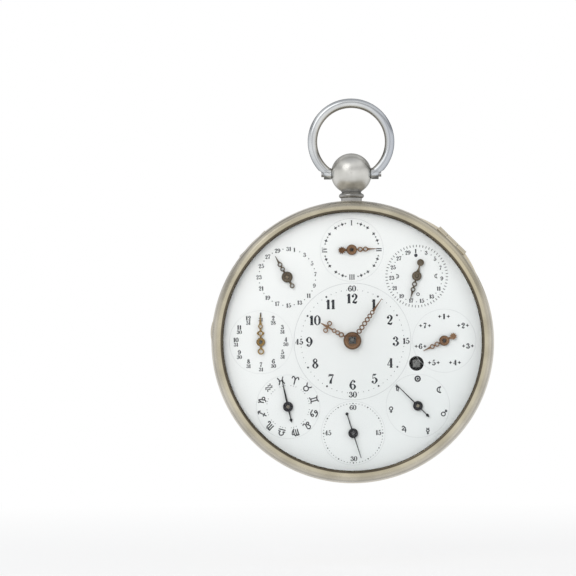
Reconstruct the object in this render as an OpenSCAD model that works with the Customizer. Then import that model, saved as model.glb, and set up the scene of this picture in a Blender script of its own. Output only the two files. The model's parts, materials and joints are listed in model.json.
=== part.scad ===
// Pocket watch with an astronomical calendar dial in front and a regulator dial behind.
// Everything is drawn about the watch's centre: x to the right, y up to the pendant and
// z out of the front dial. watch_frame() then stands it up, hanging from its bow.

/* [Case] */
// Outside diameter of the case band
case_d = 62; // [61.6:0.1:64]
// Height of the case band between the two bezels
band_h = 9.2; // [8.8:0.1:10.4]
// Wall of the case band
band_wall = 1; // [0.8:0.1:1.3]
// Depth of the ledge that carries the movement, under the front edge of the band
ledge_depth = 3.25; // [3:0.05:3.6]
// Thickness of the bezels' rounded border over the glass
bezel_lip = 0.5; // [0.4:0.05:0.8]
// Width of the rounded border of each bezel
bezel_w = 2.25; // [1.9:0.05:2.4]
// Rise of the front glass from its edge to its middle
front_glass_rise = 3; // [2.4:0.1:4]
// Rise of the back glass from its edge to its middle
back_glass_rise = 1.2; // [1:0.1:2]
// Thickness of the glasses
glass_t = 0.7; // [0.5:0.05:0.9]
// Radius of the hinge knuckles
knuckle_r = 0.7; // [0.65:0.05:0.8]
// Radius of the hinge pins
hinge_pin_r = 0.35; // [0.25:0.05:0.4]
// Clock angle of the front bezel's hinge
front_hinge_clock = 45; // [44:1:60]
// Clock angle of the back bezel's hinge, seen from the front
back_hinge_clock = -45; // [-60:1:-44]
// Clock angle of the front bezel's thumb lip
front_lip_clock = 275; // [250:1:290]
// Clock angle of the back bezel's thumb lip, seen from the front
back_lip_clock = 134; // [120:1:150]

/* [Pendant and bow] */
// Radius of the pendant ball
ball_r = 4.5; // [4.2:0.05:4.6]
// Height of the ball's centre above the top of the band
ball_rise = 6.3; // [6:0.1:6.5]
// Radius of the widest bead on the neck
neck_bead_r = 2.78; // [2.5:0.05:3]
// Radius of the two collars on the neck
neck_collar_r = 2.25; // [2:0.05:2.4]
// Mean radius of the bow
bow_r = 8.55; // [8.3:0.05:9.2]
// Height of the bow's centre above the ball's centre
bow_rise = 7.1; // [6.9:0.05:7.3]
// Radius of the bow's wire
bow_wire_r = 1.05; // [0.9:0.05:1.1]
// Radius of the shank of the bow screws
bow_screw_r = 0.5; // [0.4:0.05:0.55]

/* [Dials and hands] */
// Thickness of the front dial at its edge
dial_t = 0.7; // [0.6:0.05:0.9]
// Rise of the front dial's middle over its edge
dial_rise = 0.5; // [0.2:0.05:0.6]
// Distance from the watch's centre to the centres of the small dials
sub_r = 20; // [19.9:0.05:20.1]
// Radius of the holes for the calendar arbors
sub_hole_r = 0.6; // [0.5:0.05:0.8]
// Radius of the winding hole
winding_hole_r = 1.6; // [1.5:0.05:1.8]
// Thickness of every hand
hand_t = 0.22; // [0.18:0.01:0.26]
// Air between the dial and the hands, and between one hand and the next
hand_gap = 0.2; // [0.15:0.01:0.3]
// Length of the minute hand
minute_len = 11.3; // [10:0.1:12]
// Length of the hour hand
hour_len = 8.1; // [7.6:0.1:8.6]
// Distance from the watch's centre to the regulator hand
regulator_x = 12.7; // [12.5:0.05:12.9]
// Length of the regulator hand
regulator_len = 10.4; // [9.5:0.1:11]

/* [Movement] */
// Thickness of the pillar plate
pillar_plate_t = 1.2; // [1:0.05:1.3]
// Thickness of the back plate
back_plate_t = 1; // [0.9:0.05:1.1]
// Room between the plates
plate_room = 6.4; // [6.4:0.05:6.8]
// Room for the calendar work between the pillar plate and the dial
calendar_h = 3; // [3:0.05:3.2]
// Room for the balance between the back plate and the back dial
balance_room = 3.4; // [3.4:0.05:3.8]
// Radius of the pillars
pillar_r = 1.2; // [1:0.05:1.4]
// Radius of the balance
balance_r = 7; // [6.6:0.05:7.05]
// Radius of the mainspring barrel
barrel_r = 8.5; // [8:0.05:8.6]
// Running clearance of pivots and pipes in their holes
run = 0.04; // [0.03:0.005:0.06]

/* [Teeth] */
// Teeth of the great wheel on the fusee
great_n = 48; // [48:1:48]
// Leaves of the centre pinion
centre_leaves = 12; // [12:1:12]
// Share of the half pitch that a wheel's tooth fills
wheel_fill = 0.88; // [0.8:0.01:0.9]
// Share of the half pitch that a pinion's leaf fills
leaf_fill = 0.74; // [0.65:0.01:0.78]

/* [Hidden] */
$fn = 64;

silver = [0.78, 0.74, 0.68];
gilt = [0.80, 0.63, 0.32];
brass = [0.79, 0.66, 0.40];
steel = [0.50, 0.51, 0.54];
blued = [0.16, 0.17, 0.22];
copper = [0.55, 0.37, 0.25];
enamel = [0.95, 0.95, 0.93];
clear = [0.85, 0.92, 0.95, 0.35];

// Case: radii from the band outward and inward, heights from the middle of the band
seat_gap = 0.05;
band_r = case_d / 2;
band_z = band_h / 2;
bezel_out_r = band_r - 0.3;
bezel_in_r = bezel_out_r - bezel_w;
opening_r = bezel_in_r - 0.3;
snap_r = bezel_in_r + 0.85;
snap_h = 0.5;
ledge_in_r = band_r - 3.3;
ledge_z = band_z - ledge_depth;
ledge_t = 0.75;
back_ring_r = bezel_in_r - 0.45;
back_ring_in = back_ring_r - 0.5;
hinge_u = band_r - 0.15;
hinge_swell = hinge_u + knuckle_r - band_r - 0.05;
hinge_swell_r = 22;
knuckle_half = 1.5;
knuckle_end = 4;
knuckle_gap = 0.1;

// Movement: plates, dial and hands stacked from the ledge
plate_z0 = ledge_z + seat_gap;
plate_z1 = plate_z0 + pillar_plate_t;
plate_r = bezel_in_r - 0.05;
rim_in = plate_r - 0.8;
back_z1 = plate_z0 - plate_room;
back_z0 = back_z1 - back_plate_t;
back_plate_r = back_ring_in - 0.5;
dial_z0 = plate_z1 + calendar_h;
dial_z1 = dial_z0 + dial_t;
dial_r = bezel_in_r - 0.15;
sub_z = dial_z1 + dial_rise + hand_gap;
hour_z = sub_z + hand_t + hand_gap;
minute_z = hour_z + hand_t + hand_gap;
glass_z = dial_z1 + 1.3;
front_top = glass_z + glass_t + bezel_lip;
back_dial_z1 = back_z0 - balance_room;
back_dial_t = 0.6;
back_dial_z0 = back_dial_z1 - back_dial_t;
back_dial_rise = 0.35;
back_dial_r = back_ring_in - 0.15;
regulator_z = back_dial_z0 - back_dial_rise - hand_gap;
back_lip_z = back_dial_z0 - 0.55;
back_glass_z = back_lip_z - 0.2;
back_top = back_glass_z - glass_t - bezel_lip;
ball_y = band_r + ball_rise;
bow_y = ball_y + bow_rise;
hang_y = bow_y + bow_r - bow_wire_r;

// Places of the arbors, from the watch's centre
fusee_p = [13.9, -4.9];
barrel_p = [7, 16];
third_p = [2.24, -11.28];
seconds_p = [0, -sub_r];
motion_p = [-6 * cos(10), -6 * sin(10)];
verge_a = 160;
verge_s = 10.3;
balance_p = seconds_p + verge_s * [cos(verge_a), sin(verge_a)];
regulator_p = [regulator_x, 0];
day_r = 10.5;
date_day_a = 112.5;
moon_day_a = 22.5;
planet_day_a = -67.5;
pillar_places = [for (a = [45, 135, 225, 285]) polar(back_plate_r - 2, a)];
post_places = [for (a = [22.5, 112.5, 202.5, 292.5]) polar(rim_in - 2.4, a)];
dial_foot_places = [for (a = [67.5, 157.5, 247.5]) polar(rim_in - 2.4, a)];
back_foot_places = [for (a = [20, 160, 320]) polar(back_plate_r - 2.5, a)];

// Calendar stars: clock angle of the small dial, teeth and radius
date_c = -45;
season_c = 0;
moon_c = 45;
weekday_c = 90;
planet_c = 135;
zodiac_c = 225;
month_c = 270;
star_r = 5.9;
short_star_r = 4.9;
star_t = 0.24;
star_z = plate_z1 + 1.76;
moon_star_z = plate_z1 + 1.48;
calendar_plate_z = plate_z1 + 2.25;
calendar_plate_t = 0.4;
star_arbor_r = 0.35;

// Wheels: module of each pair from the distance between its arbors
great_m = 2 * norm(fusee_p) / (great_n + centre_leaves);
centre_n = 60;
third_leaves = 8;
centre_m = 2 * norm(third_p) / (centre_n + third_leaves);
third_n = 64;
contrate_leaves = 8;
third_m = 2 * norm(seconds_p - third_p) / (third_n + contrate_leaves);
contrate_n = 48;
crown_leaves = 6;
contrate_r = 4.2;
crown_m = 2 * contrate_r / contrate_n;
cannon_n = 12;
minute_n = 36;
cannon_m = 2 * norm(motion_p) / (cannon_n + minute_n);
minute_leaves = 10;
hour_n = 40;
hour_m = 2 * norm(motion_p) / (minute_leaves + hour_n);
hour_leaves = 24;
day_n = 48;
day_m = 2 * day_r / (hour_leaves + day_n);
rack_leaves = 10;
rack_pinion_r = 1.2;
rack_m = 2 * rack_pinion_r / rack_leaves;
rack_r = norm(regulator_p - balance_p) - rack_pinion_r;
rack_a = atan2(regulator_p[1] - balance_p[1], regulator_p[0] - balance_p[0]);

// Levels of the wheels
great_z = back_z1 + 0.3;
great_t = 0.55;
centre_z = plate_z0 - 1.1;
wheel_t = 0.4;
third_z = plate_z0 - 2.3;
contrate_z = plate_z0 - 2.95;
verge_z = plate_z0 - 4.05;
motion_z = plate_z1 + 0.1;
motion_t = 0.35;
hour_wheel_z = motion_z + motion_t + 0.1;
day_z = hour_wheel_z + motion_t + 0.2;
day_t = 0.3;

// Pipes on the centre arbor
centre_arbor_r = 0.45;
cannon_r = 1.15;
hour_pipe_in = cannon_r + run;
hour_pipe_r = 1.55;
hub_r = 1.94;
cannon_square = 1.6;

function polar(r, a) = [r * cos(a), r * sin(a)];
function clock(r, c) = [r * sin(c), r * cos(c)];
function oval(cx, cy, rx, ry, a0, a1, n) =
    [for (i = [0:n]) let (a = a0 + (a1 - a0) * i / n) [cx + rx * cos(a), cy + ry * sin(a)]];
function dome_r(r, rise) = (r * r + rise * rise) / (2 * rise);
function angle_to(p, q) = atan2(q[1] - p[1], q[0] - p[0]);

// Corners of a toothed outline: radius and angle of one tooth's corners, turned round
function toothed(n, tooth, first) =
    [for (k = [0:n - 1], p = tooth) polar(p[0], first + 360 * k / n + p[1])];
// A wheel's tooth: straight below the pitch circle and pointed like an arch above it
function wheel_tooth(n, m) =
    let (r = n * m / 2, w = 90 / n * wheel_fill)
    [[r - 0.95 * m, -w], [r, -w], [r + 0.5 * m, -0.72 * w], [r + 0.9 * m, -0.25 * w],
        [r + 0.9 * m, 0.25 * w], [r + 0.5 * m, 0.72 * w], [r, w], [r - 0.95 * m, w]];
// A pinion's leaf: straight flanks under a low rounded top
function pinion_leaf(n, m) =
    let (r = n * m / 2, w = 90 / n * leaf_fill)
    [[r - 1.25 * m, -w], [r, -w], [r + 0.4 * m, -0.5 * w],
        [r + 0.4 * m, 0.5 * w], [r, w], [r - 1.25 * m, w]];
// Angle of a tooth of wheel b when wheel a has a tooth at angle first, along the line at angle a_to_b
function in_mesh(n_a, first, n_b, a_to_b) =
    a_to_b + 180 - n_a / n_b * (first - a_to_b) + 180 / n_b;

module watch_frame() {
    translate([0, 0, -hang_y]) rotate([90, 0, 0]) children();
}
module at(p, z = 0) {
    translate([p[0], p[1], z]) children();
}
module disc(r, z0, z1) {
    translate([0, 0, z0]) cylinder(r = r, h = z1 - z0);
}
module tube(r, r_in, z0, z1) {
    difference() {
        disc(r, z0, z1);
        disc(r_in, z0 - 1, z1 + 1);
    }
}
// A turned arbor from a list of [start height, radius], closed by the last height
module arbor(steps) {
    for (i = [0:len(steps) - 2]) disc(steps[i][1], steps[i][0], steps[i + 1][0]);
}
module toothed_wheel(n, m, first, rim_in, hub, arms, bar) {
    difference() {
        polygon(toothed(n, wheel_tooth(n, m), first));
        difference() {
            circle(rim_in);
            circle(hub);
            for (i = [0:arms - 1]) rotate(first + 360 / arms * i) translate([0, -bar / 2])
                square([rim_in, bar]);
        }
    }
}
module slab(z, t) {
    translate([0, 0, z]) linear_extrude(height = t) children();
}
// A cylinder along x, the direction of the bow's pivot and of a hinge pin
module along_x(r, x0, x1) {
    translate([x0, 0, 0]) rotate([0, 90, 0]) cylinder(r = r, h = x1 - x0);
}

// CASE
module at_hinge(hinge_clock, z) {
    rotate([0, 0, -hinge_clock]) translate([0, hinge_u, z]) children();
}
module band_knuckles(side) {
    for (s = [-1, 1]) scale([s, 1, 1]) {
        along_x(knuckle_r, knuckle_half + knuckle_gap, knuckle_end);
        translate([knuckle_half + knuckle_gap, -1.1, side > 0 ? -0.9 : 0.05])
            cube([knuckle_end - knuckle_half - knuckle_gap, 1.1, 0.85]);
    }
}
// Swell of the band that a hinge lies in, a flatter curve than the band's own
module hinge_swelling(side) {
    translate([0, hinge_swell + band_r - hinge_u - hinge_swell_r, side > 0 ? -2.4 : 0.1]) {
        cylinder(r = hinge_swell_r, h = 2.3);
        translate([0, 0, side > 0 ? -0.6 : 2.3])
            cylinder(r1 = hinge_swell_r - (side > 0 ? 0.5 : 0), r2 = hinge_swell_r - (side > 0 ? 0 : 0.5), h = 0.6);
    }
}
module case_band() color(silver) watch_frame() difference() {
    union() {
        rotate_extrude() polygon([
            [band_r - 0.35, -band_z], [band_r, -band_z + 0.5], [band_r, band_z - 0.5],
            [band_r - 0.35, band_z], [snap_r - 0.1, band_z], [snap_r - 0.1, band_z + snap_h],
            [snap_r - 0.55, band_z + snap_h], [snap_r - 0.55, band_z - 0.5],
            [band_r - band_wall, band_z - 1.1], [band_r - band_wall, ledge_z],
            [ledge_in_r, ledge_z], [ledge_in_r, ledge_z - ledge_t],
            [band_r - band_wall, ledge_z - ledge_t], [band_r - band_wall, 1.1 - band_z],
            [snap_r - 0.55, 0.5 - band_z], [snap_r - 0.55, -band_z - snap_h],
            [snap_r - 0.1, -band_z - snap_h], [snap_r - 0.1, -band_z]]);
        for (side = [1, -1]) at_hinge(side > 0 ? front_hinge_clock : back_hinge_clock, side * band_z) {
            band_knuckles(side);
            difference() {
                hinge_swelling(side);
                translate([0, -hinge_u, -4]) cylinder(r = band_r - 0.4, h = 8);
            }
        }
    }
    for (side = [1, -1]) at_hinge(side > 0 ? front_hinge_clock : back_hinge_clock, side * band_z) {
        along_x(knuckle_r + knuckle_gap, -knuckle_half - knuckle_gap, knuckle_half + knuckle_gap);
        along_x(hinge_pin_r, -knuckle_end - 0.05, knuckle_end + 0.05);
    }
    // Socket for the ball's stem, which screws through the neck
    translate([0, band_r + 1, 0]) rotate([90, 0, 0]) cylinder(r = stem_r, h = 3);
}
stem_r = 1.2;
module pendant_neck() color(silver) watch_frame() difference() {
    translate([0, band_r - 0.5, 0]) rotate([-90, 0, 0]) rotate_extrude() polygon(concat(
        [[0, 0], [neck_collar_r + 0.05, 0], [neck_collar_r + 0.05, 0.9]],
        oval(neck_collar_r - 0.1, 1.85, neck_bead_r - neck_collar_r + 0.1, 0.55, -75, 75, 6),
        [[neck_collar_r - 0.15, 2.65], [neck_collar_r, 2.8], [neck_collar_r, 3.6], [0, 3.6]]));
    disc(band_r + 0.02, -10, 10);
    translate([0, ball_y, 0]) sphere(r = ball_r + 0.02);
    translate([0, ball_y, 0]) rotate([90, 0, 0]) cylinder(r = stem_r, h = ball_rise + 1);
}
module pendant_ball() color(silver) watch_frame() difference() {
    union() {
        translate([0, ball_y, 0]) sphere(r = ball_r);
        translate([0, ball_y, 0]) rotate([90, 0, 0]) cylinder(r = stem_r, h = ball_rise + 0.6);
    }
    translate([0, ball_y, 0]) for (s = [-1, 1]) scale([s, 1, 1])
        along_x(bow_screw_r, ball_r - 1.8, ball_r + 1);
}
bow_eye_x = ball_r + 1.55;
bow_screw_head_r = 0.72;
module bow() color(silver) watch_frame() translate([0, ball_y, 0]) difference() {
    union() {
        translate([0, bow_rise, 0]) rotate([0, 0, -57]) rotate_extrude(angle = 294)
            translate([bow_r, 0]) circle(bow_wire_r);
        for (s = [-1, 1]) scale([s, 1, 1]) along_x(1.25, ball_r - 0.35, bow_eye_x);
    }
    sphere(r = ball_r + 0.08);
    for (s = [-1, 1]) scale([s, 1, 1]) {
        along_x(bow_screw_r + run, ball_r - 1, bow_eye_x + 1);
        along_x(bow_screw_head_r + 0.08, bow_eye_x, bow_eye_x + 3);
    }
}
module slotted_screw(r, head_r, shank, head) {
    disc(r, -shank, 0);
    difference() {
        disc(head_r, 0, head);
        translate([-head_r, -0.1, head * 0.5]) cube([2 * head_r, 0.2, head]);
    }
}
module screws() color(steel) watch_frame() {
    for (s = [-1, 1]) translate([s * (bow_eye_x + 0.03), ball_y, 0]) rotate([0, s * 90, 0])
        slotted_screw(bow_screw_r, bow_screw_head_r, 2.9, 0.55);
    for (p = cock_foot_places) at(p, cock_z0) rotate([180, 0, 0])
        slotted_screw(0.45, 0.8, cock_t + 2.4, 0.35);
}
module hinge_pins() color(steel) watch_frame() {
    at_hinge(front_hinge_clock, band_z) along_x(hinge_pin_r, -knuckle_end, knuckle_end);
    at_hinge(back_hinge_clock, -band_z) along_x(hinge_pin_r, -knuckle_end, knuckle_end);
}
// Rounded border, snap rebate, inner lip and glass groove, drawn from the joint outward
module bezel(height, groove_z, lip_r, hinge_clock, lip_clock) {
    difference() {
        union() {
            rotate_extrude() polygon(concat(
                [[snap_r, 0], [snap_r, snap_h + 0.1], [bezel_in_r, snap_h + 0.1],
                    [bezel_in_r, groove_z - 0.5], [lip_r, groove_z - 0.5], [lip_r, groove_z],
                    [glass_r + seat_gap, groove_z], [glass_r + seat_gap, groove_z + glass_t + glass_room],
                    [lip_r + 0.1, groove_z + glass_t + glass_room]],
                oval(lip_r + 0.6, height - 0.25, 0.5, 0.25, 180, 90, 3),
                oval(bezel_out_r - 1.5, 1, 1.5, height - 1, 80, 0, 7),
                [[bezel_out_r, 0.4], [bezel_out_r - 0.25, 0]]));
            at_hinge(hinge_clock, -seat_gap) {
                along_x(knuckle_r, -knuckle_half, knuckle_half);
                translate([-knuckle_half, -1.4, seat_gap]) cube([2 * knuckle_half, 1.4, 0.7]);
            }
            // Thumb lip, a low segment standing out of the border
            rotate([0, 0, -lip_clock]) difference() {
                translate([0, bezel_out_r + 0.45 - 7, 0.3]) cylinder(r = 7, h = 0.8);
                disc(bezel_out_r - 0.3, -1, 3);
            }
        }
        at_hinge(hinge_clock, -seat_gap) {
            for (s = [-1, 1]) scale([s, 1, 1])
                along_x(knuckle_r + knuckle_gap, knuckle_half, knuckle_end + knuckle_gap);
            along_x(hinge_pin_r + run, -knuckle_end, knuckle_end);
        }
    }
}
glass_r = opening_r + 0.45;
glass_room = 0.12;
module front_bezel() color(silver) watch_frame() translate([0, 0, band_z + seat_gap])
    bezel(front_top - band_z - seat_gap, glass_z - band_z - seat_gap, opening_r,
        front_hinge_clock, front_lip_clock);
module back_bezel() color(silver) watch_frame() translate([0, 0, -band_z - seat_gap])
    rotate([0, 180, 0])
        bezel(-back_top - band_z - seat_gap, -back_glass_z - band_z - seat_gap, opening_r + 0.25,
            -back_hinge_clock, -back_lip_clock);
module domed_glass(rise) {
    round_r = dome_r(glass_r, rise);
    difference() {
        intersection() {
            disc(glass_r, 0, rise + glass_t + 1);
            translate([0, 0, rise + glass_t - round_r]) sphere(r = round_r, $fn = 200);
        }
        translate([0, 0, rise - round_r]) sphere(r = round_r, $fn = 200);
    }
}
module front_glass() color(clear) watch_frame() translate([0, 0, glass_z])
    domed_glass(front_glass_rise);
module back_glass() color(clear) watch_frame() translate([0, 0, back_glass_z]) rotate([0, 180, 0])
    domed_glass(back_glass_rise);
// Gilt inner ring round the back dial, from the band's ledge to just under the back glass
module back_ring() color(gilt) watch_frame() rotate_extrude() polygon([
    [back_ring_in, ledge_z - ledge_t - 0.02], [back_ring_r, ledge_z - ledge_t - 0.02],
    [back_ring_r, back_lip_z], [back_ring_r - 0.25, back_lip_z],
    [back_dial_r - 0.35, back_dial_z0 - 0.05], [back_ring_in, back_dial_z0 - 0.05]]);

// DIALS
// Enamelled copper disc whose upper face rises in a shallow dome
module domed_disc(r, t, rise) rotate_extrude() polygon(concat([[0, 0], [r, 0]],
    [for (i = [6:-1:0]) [r * i / 6, t + rise * (1 - pow(i / 6, 2))]]));
foot_r = 0.45;
module front_dial() color(enamel) watch_frame() difference() {
    union() {
        translate([0, 0, dial_z0]) domed_disc(dial_r, dial_t, dial_rise);
        for (p = dial_foot_places) at(p) disc(foot_r, plate_z0 + 0.2, dial_z0 + 0.1);
    }
    disc(hour_pipe_r + 0.15, dial_z0 - 1, dial_z1 + 2);
    for (c = [0:45:315]) at(clock(sub_r, c)) disc(sub_hole_r, dial_z0 - 1, dial_z1 + 2);
    at(fusee_p) disc(winding_hole_r, dial_z0 - 1, dial_z1 + 2);
}
module back_dial() color(enamel) watch_frame() difference() {
    union() {
        translate([0, 0, back_dial_z1]) rotate([0, 180, 0])
            domed_disc(back_dial_r, back_dial_t, back_dial_rise);
        for (p = back_foot_places) at(p) disc(foot_r, back_dial_z1 - 0.1, back_z1 - 0.2);
    }
    at(regulator_p) disc(0.75, back_dial_z0 - 2, back_dial_z1 + 1);
}

// FRAME OF THE MOVEMENT
pivot_r = 0.25;
barrel_arbor_r = 0.8;
fusee_arbor_r = 0.9;
module pillar_plate() color(brass) watch_frame() difference() {
    union() {
        disc(plate_r, plate_z0, plate_z1);
        tube(plate_r, rim_in, plate_z1 - 0.1, dial_z0 - seat_gap);
    }
    disc(centre_arbor_r + run, plate_z0 - 1, plate_z1 + 1);
    at(fusee_p) disc(fusee_arbor_r + run, plate_z0 - 1, plate_z1 + 1);
    at(barrel_p) disc(barrel_arbor_r, plate_z0 - 1, plate_z1 + 1);
    at(third_p) disc(pivot_r + run, plate_z0 - 1, plate_z1 + 1);
    at(seconds_p) disc(0.35 + run, plate_z0 - 1, plate_z1 + 1);
    for (c = star_clocks) at(clock(sub_r, c)) disc(star_arbor_r + run, plate_z0 - 1, plate_z1 + 1);
    for (p = dial_foot_places) at(p) disc(foot_r + 0.05, plate_z0 - 1, plate_z1 + 1);
}
star_clocks = [date_c, season_c, moon_c, weekday_c, planet_c, zodiac_c, month_c];
lever_in = 3.9;
module back_plate() color(gilt) watch_frame() difference() {
    union() {
        disc(back_plate_r, back_z0, back_z1);
        // Boss that the regulator lever turns on
        at(balance_p) disc(lever_in - run, back_z0 - 0.2, back_z0 + 0.1);
        // Stud that holds the outer end of the balance spring
        at(balance_p + [coil_r(spring_turns * spring_steps), 0]) disc(0.2, back_z0 - 0.9, back_z0);
    }
    disc(pivot_r + run, back_z0 - 1, back_z1 + 1);
    at(fusee_p) disc(0.5 + run, back_z0 - 1, back_z1 + 1);
    at(barrel_p) disc(barrel_arbor_r, back_z0 - 1, back_z1 + 1);
    at(third_p) disc(pivot_r + run, back_z0 - 1, back_z1 + 1);
    at(seconds_p) disc(pivot_r + run, back_z0 - 1, back_z1 + 1);
    at(balance_p) disc(1.1, back_z0 - 1, back_z1 + 1);
    at(regulator_p) disc(0.5 + run, back_z0 - 1, back_z1 + 1);
    for (p = back_foot_places) at(p) disc(foot_r + 0.05, back_z0 - 1, back_z1 + 1);
    for (p = cock_foot_places) at(p) disc(0.45, back_z0 - 1, back_z1 + 1);
    for (p = pillar_places) at(p) disc(0.6, back_z0 - 1, back_z1 + 1);
}
// Turned pillars with their pinned ends through the back plate
module movement_pillars() color(brass) watch_frame() for (p = pillar_places) at(p) {
    translate([0, 0, back_z1]) rotate_extrude() polygon([
        [0, 0], [pillar_r, 0], [pillar_r, 0.5], [pillar_r * 0.62, 0.8], [pillar_r * 0.75, 1.6],
        [pillar_r * 0.95, plate_room / 2], [pillar_r * 0.75, plate_room - 1.6],
        [pillar_r * 0.62, plate_room - 0.8], [pillar_r, plate_room - 0.5],
        [pillar_r, plate_room], [0, plate_room]]);
    difference() {
        disc(0.6, back_z0 - 0.6, back_z1 + 0.1);
        translate([0, 0, back_z0 - 0.3]) along_x(0.15, -2, 2);
    }
    translate([0, 0, back_z0 - 0.3]) along_x(0.15, -1.1, 1.1);
}
module calendar_plate() color(brass) watch_frame() difference() {
    disc(rim_in - 0.1, calendar_plate_z, calendar_plate_z + calendar_plate_t);
    disc(hour_pipe_r + 0.3, dial_z0 - 2, dial_z0);
    at(fusee_p) disc(1.5, dial_z0 - 2, dial_z0);
    at(seconds_p) disc(0.6, dial_z0 - 2, dial_z0);
    for (c = star_clocks) at(clock(sub_r, c)) disc(star_arbor_r + run, dial_z0 - 2, dial_z0);
    for (p = dial_foot_places) at(p) disc(foot_r + 0.1, dial_z0 - 2, dial_z0);
    for (p = post_places) at(p) disc(0.35, dial_z0 - 2, dial_z0);
    for (p = day_places) at(p) disc(0.45, dial_z0 - 2, dial_z0);
}
day_places = [for (a = [date_day_a, moon_day_a, planet_day_a]) polar(day_r, a)];
// Posts under the calendar plate, and studs that the day wheels and the minute wheel turn on
module calendar_posts() color(steel) watch_frame() {
    for (p = post_places) at(p) arbor([[plate_z1, 0.8], [calendar_plate_z, 0.35],
        [calendar_plate_z + calendar_plate_t, 0.6], [calendar_plate_z + calendar_plate_t + 0.2, 0]]);
    for (p = day_places) at(p) arbor([[plate_z1, 0.9], [day_z - 0.05, 0.45],
        [calendar_plate_z + calendar_plate_t, 0]]);
    at(motion_p) arbor([[plate_z1, 0.7], [motion_z - 0.03, 0.4], [hour_wheel_z + motion_t + 0.05, 0]]);
}
// One jumper: its foot stands on the pillar plate and its beak rests by the star's teeth
module jumper(r, z) {
    rotate([0, 0, 123]) translate([r + 1.05, 0, 0]) disc(0.8, plate_z1, z + star_t);
    translate([0, 0, z]) rotate([0, 0, 62]) rotate_extrude(angle = 61)
        translate([r + 0.35, 0]) square([0.28, star_t]);
    slab(z, star_t) polygon([polar(r + 0.4, 59), polar(r + 0.12, 62), polar(r + 0.4, 65),
        polar(r + 0.6, 65), polar(r + 0.6, 59)]);
}
module jumper_springs() color(steel) watch_frame() {
    for (c = [date_c, weekday_c, planet_c]) rotate([0, 0, -c]) at([0, sub_r]) jumper(star_r, star_z);
    rotate([0, 0, -moon_c]) at([0, sub_r]) jumper(star_r, moon_star_z);
    for (c = [season_c, zodiac_c, month_c]) rotate([0, 0, -c]) at([0, sub_r])
        jumper(short_star_r, star_z);
}

// ESCAPEMENT, along the line from the seconds arbor to the balance
crown_r = 2.15;
crown_s = 8;
crown_tip_s = 9.4;
nose_s = crown_tip_s + 0.1;
crown_n = 15;
module along_verge() {
    at(seconds_p) rotate([0, 0, verge_a]) translate([0, 0, verge_z]) children();
}
module potences() color(gilt) watch_frame() along_verge() {
    // Potence: block, nose for the crown wheel's pivot and foot for the verge
    difference() {
        union() {
            translate([nose_s, 1.2, back_z1 - verge_z]) cube([1.8, 1, plate_z0 - 0.3 - back_z1]);
            translate([nose_s, -0.5, -0.4]) cube([0.25, 1.8, 0.8]);
            translate([verge_s - 0.5, -0.5, foot_z]) cube([1, 1.8, 0.5]);
        }
        along_x(0.15 + run, nose_s - 1, nose_s + 1);
        translate([verge_s, 0, 0]) disc(0.15 + run, foot_z - 1, foot_z + 2);
    }
    // Counter-potence at the tail of the crown wheel's arbor
    difference() {
        translate([1.85, -0.5, back_z1 - verge_z]) cube([0.45, 1, verge_z - back_z1 + 0.45]);
        along_x(0.15 + run, 1, 3);
    }
}
foot_z = 2.35;
module crown_wheel() color(brass) watch_frame() along_verge() {
    difference() {
        union() {
            along_x(crown_r, crown_s, crown_tip_s);
            along_x(0.28, 2.35, crown_s + 0.1);
        }
        difference() {
            along_x(crown_r - 0.3, crown_s + 0.25, crown_tip_s + 1);
            along_x(0.15, crown_s, crown_tip_s + 1);
        }
        // Raked gaps leave upright fronts and slanted backs on the teeth
        for (k = [0:crown_n - 1]) rotate([360 / crown_n * k, 0, 0]) translate([0, 0, crown_r - 0.7])
            linear_extrude(height = 1.2) polygon([[crown_s + 0.75, 0.25], [crown_tip_s + 0.2, 0.25],
                [crown_tip_s + 0.2, -0.5], [crown_tip_s - 0.1, -0.5], [crown_s + 0.75, -0.1]]);
    }
    along_x(0.15, 1.85, 2.4);
    along_x(0.15, crown_s + 0.1, nose_s + 0.25);
    rotate([0, 90, 0]) slab(3.6, 1.3)
        polygon(toothed(crown_leaves, pinion_leaf(crown_leaves, crown_m), 180 / crown_leaves));
}
verge_top = verge_z + foot_z;
cock_z1 = back_z0 - 2.1;
cock_t = 0.4;
cock_z0 = cock_z1 - cock_t;
balance_z = back_z0 - 1.6;
module verge_staff() color(steel) watch_frame() at(balance_p) {
    arbor([[cock_z1 - 0.3, 0.15], [cock_z1 + 0.05, 0.35], [back_z0 - 0.85, 0.7],
        [back_z0 - 0.55, 0.35], [verge_top - 0.05, 0.15], [verge_top + 0.4, 0]]);
    // Two pallets about a right angle apart, at the top and the bottom of the crown wheel
    for (side = [-1, 1]) rotate([0, 0, verge_a + 180 + side * 48])
        translate([0, -0.1, verge_z + side * (crown_r - 0.25) - 0.2]) cube([0.75, 0.2, 0.4]);
}
module balance_wheel() color(gilt) watch_frame() at(balance_p) slab(balance_z, 0.5) difference() {
    circle(balance_r);
    circle(0.35);
    difference() {
        circle(balance_r - 0.75);
        circle(1.1);
        for (i = [0:2]) rotate(120 * i + 30) translate([0, -0.3]) square([balance_r, 0.6]);
    }
}
spring_turns = 4;
spring_steps = 24;
function coil_r(i) = 0.8 + (3.42 - 0.8) * i / (spring_turns * spring_steps);
module balance_spring() color(blued) watch_frame() at(balance_p) slab(back_z0 - 0.85, 0.22)
    polygon(concat(
        [for (i = [0:spring_turns * spring_steps]) polar(coil_r(i) + 0.05, 360 / spring_steps * i)],
        [for (i = [spring_turns * spring_steps:-1:0]) polar(coil_r(i) - 0.05, 360 / spring_steps * i)]));
cock_a = angle_to([0, 0], balance_p);
cock_reach = balance_r + 1.5;
cock_foot_places = [for (s = [-1, 1]) balance_p + s * polar(cock_reach, cock_a + 90)];
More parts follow.
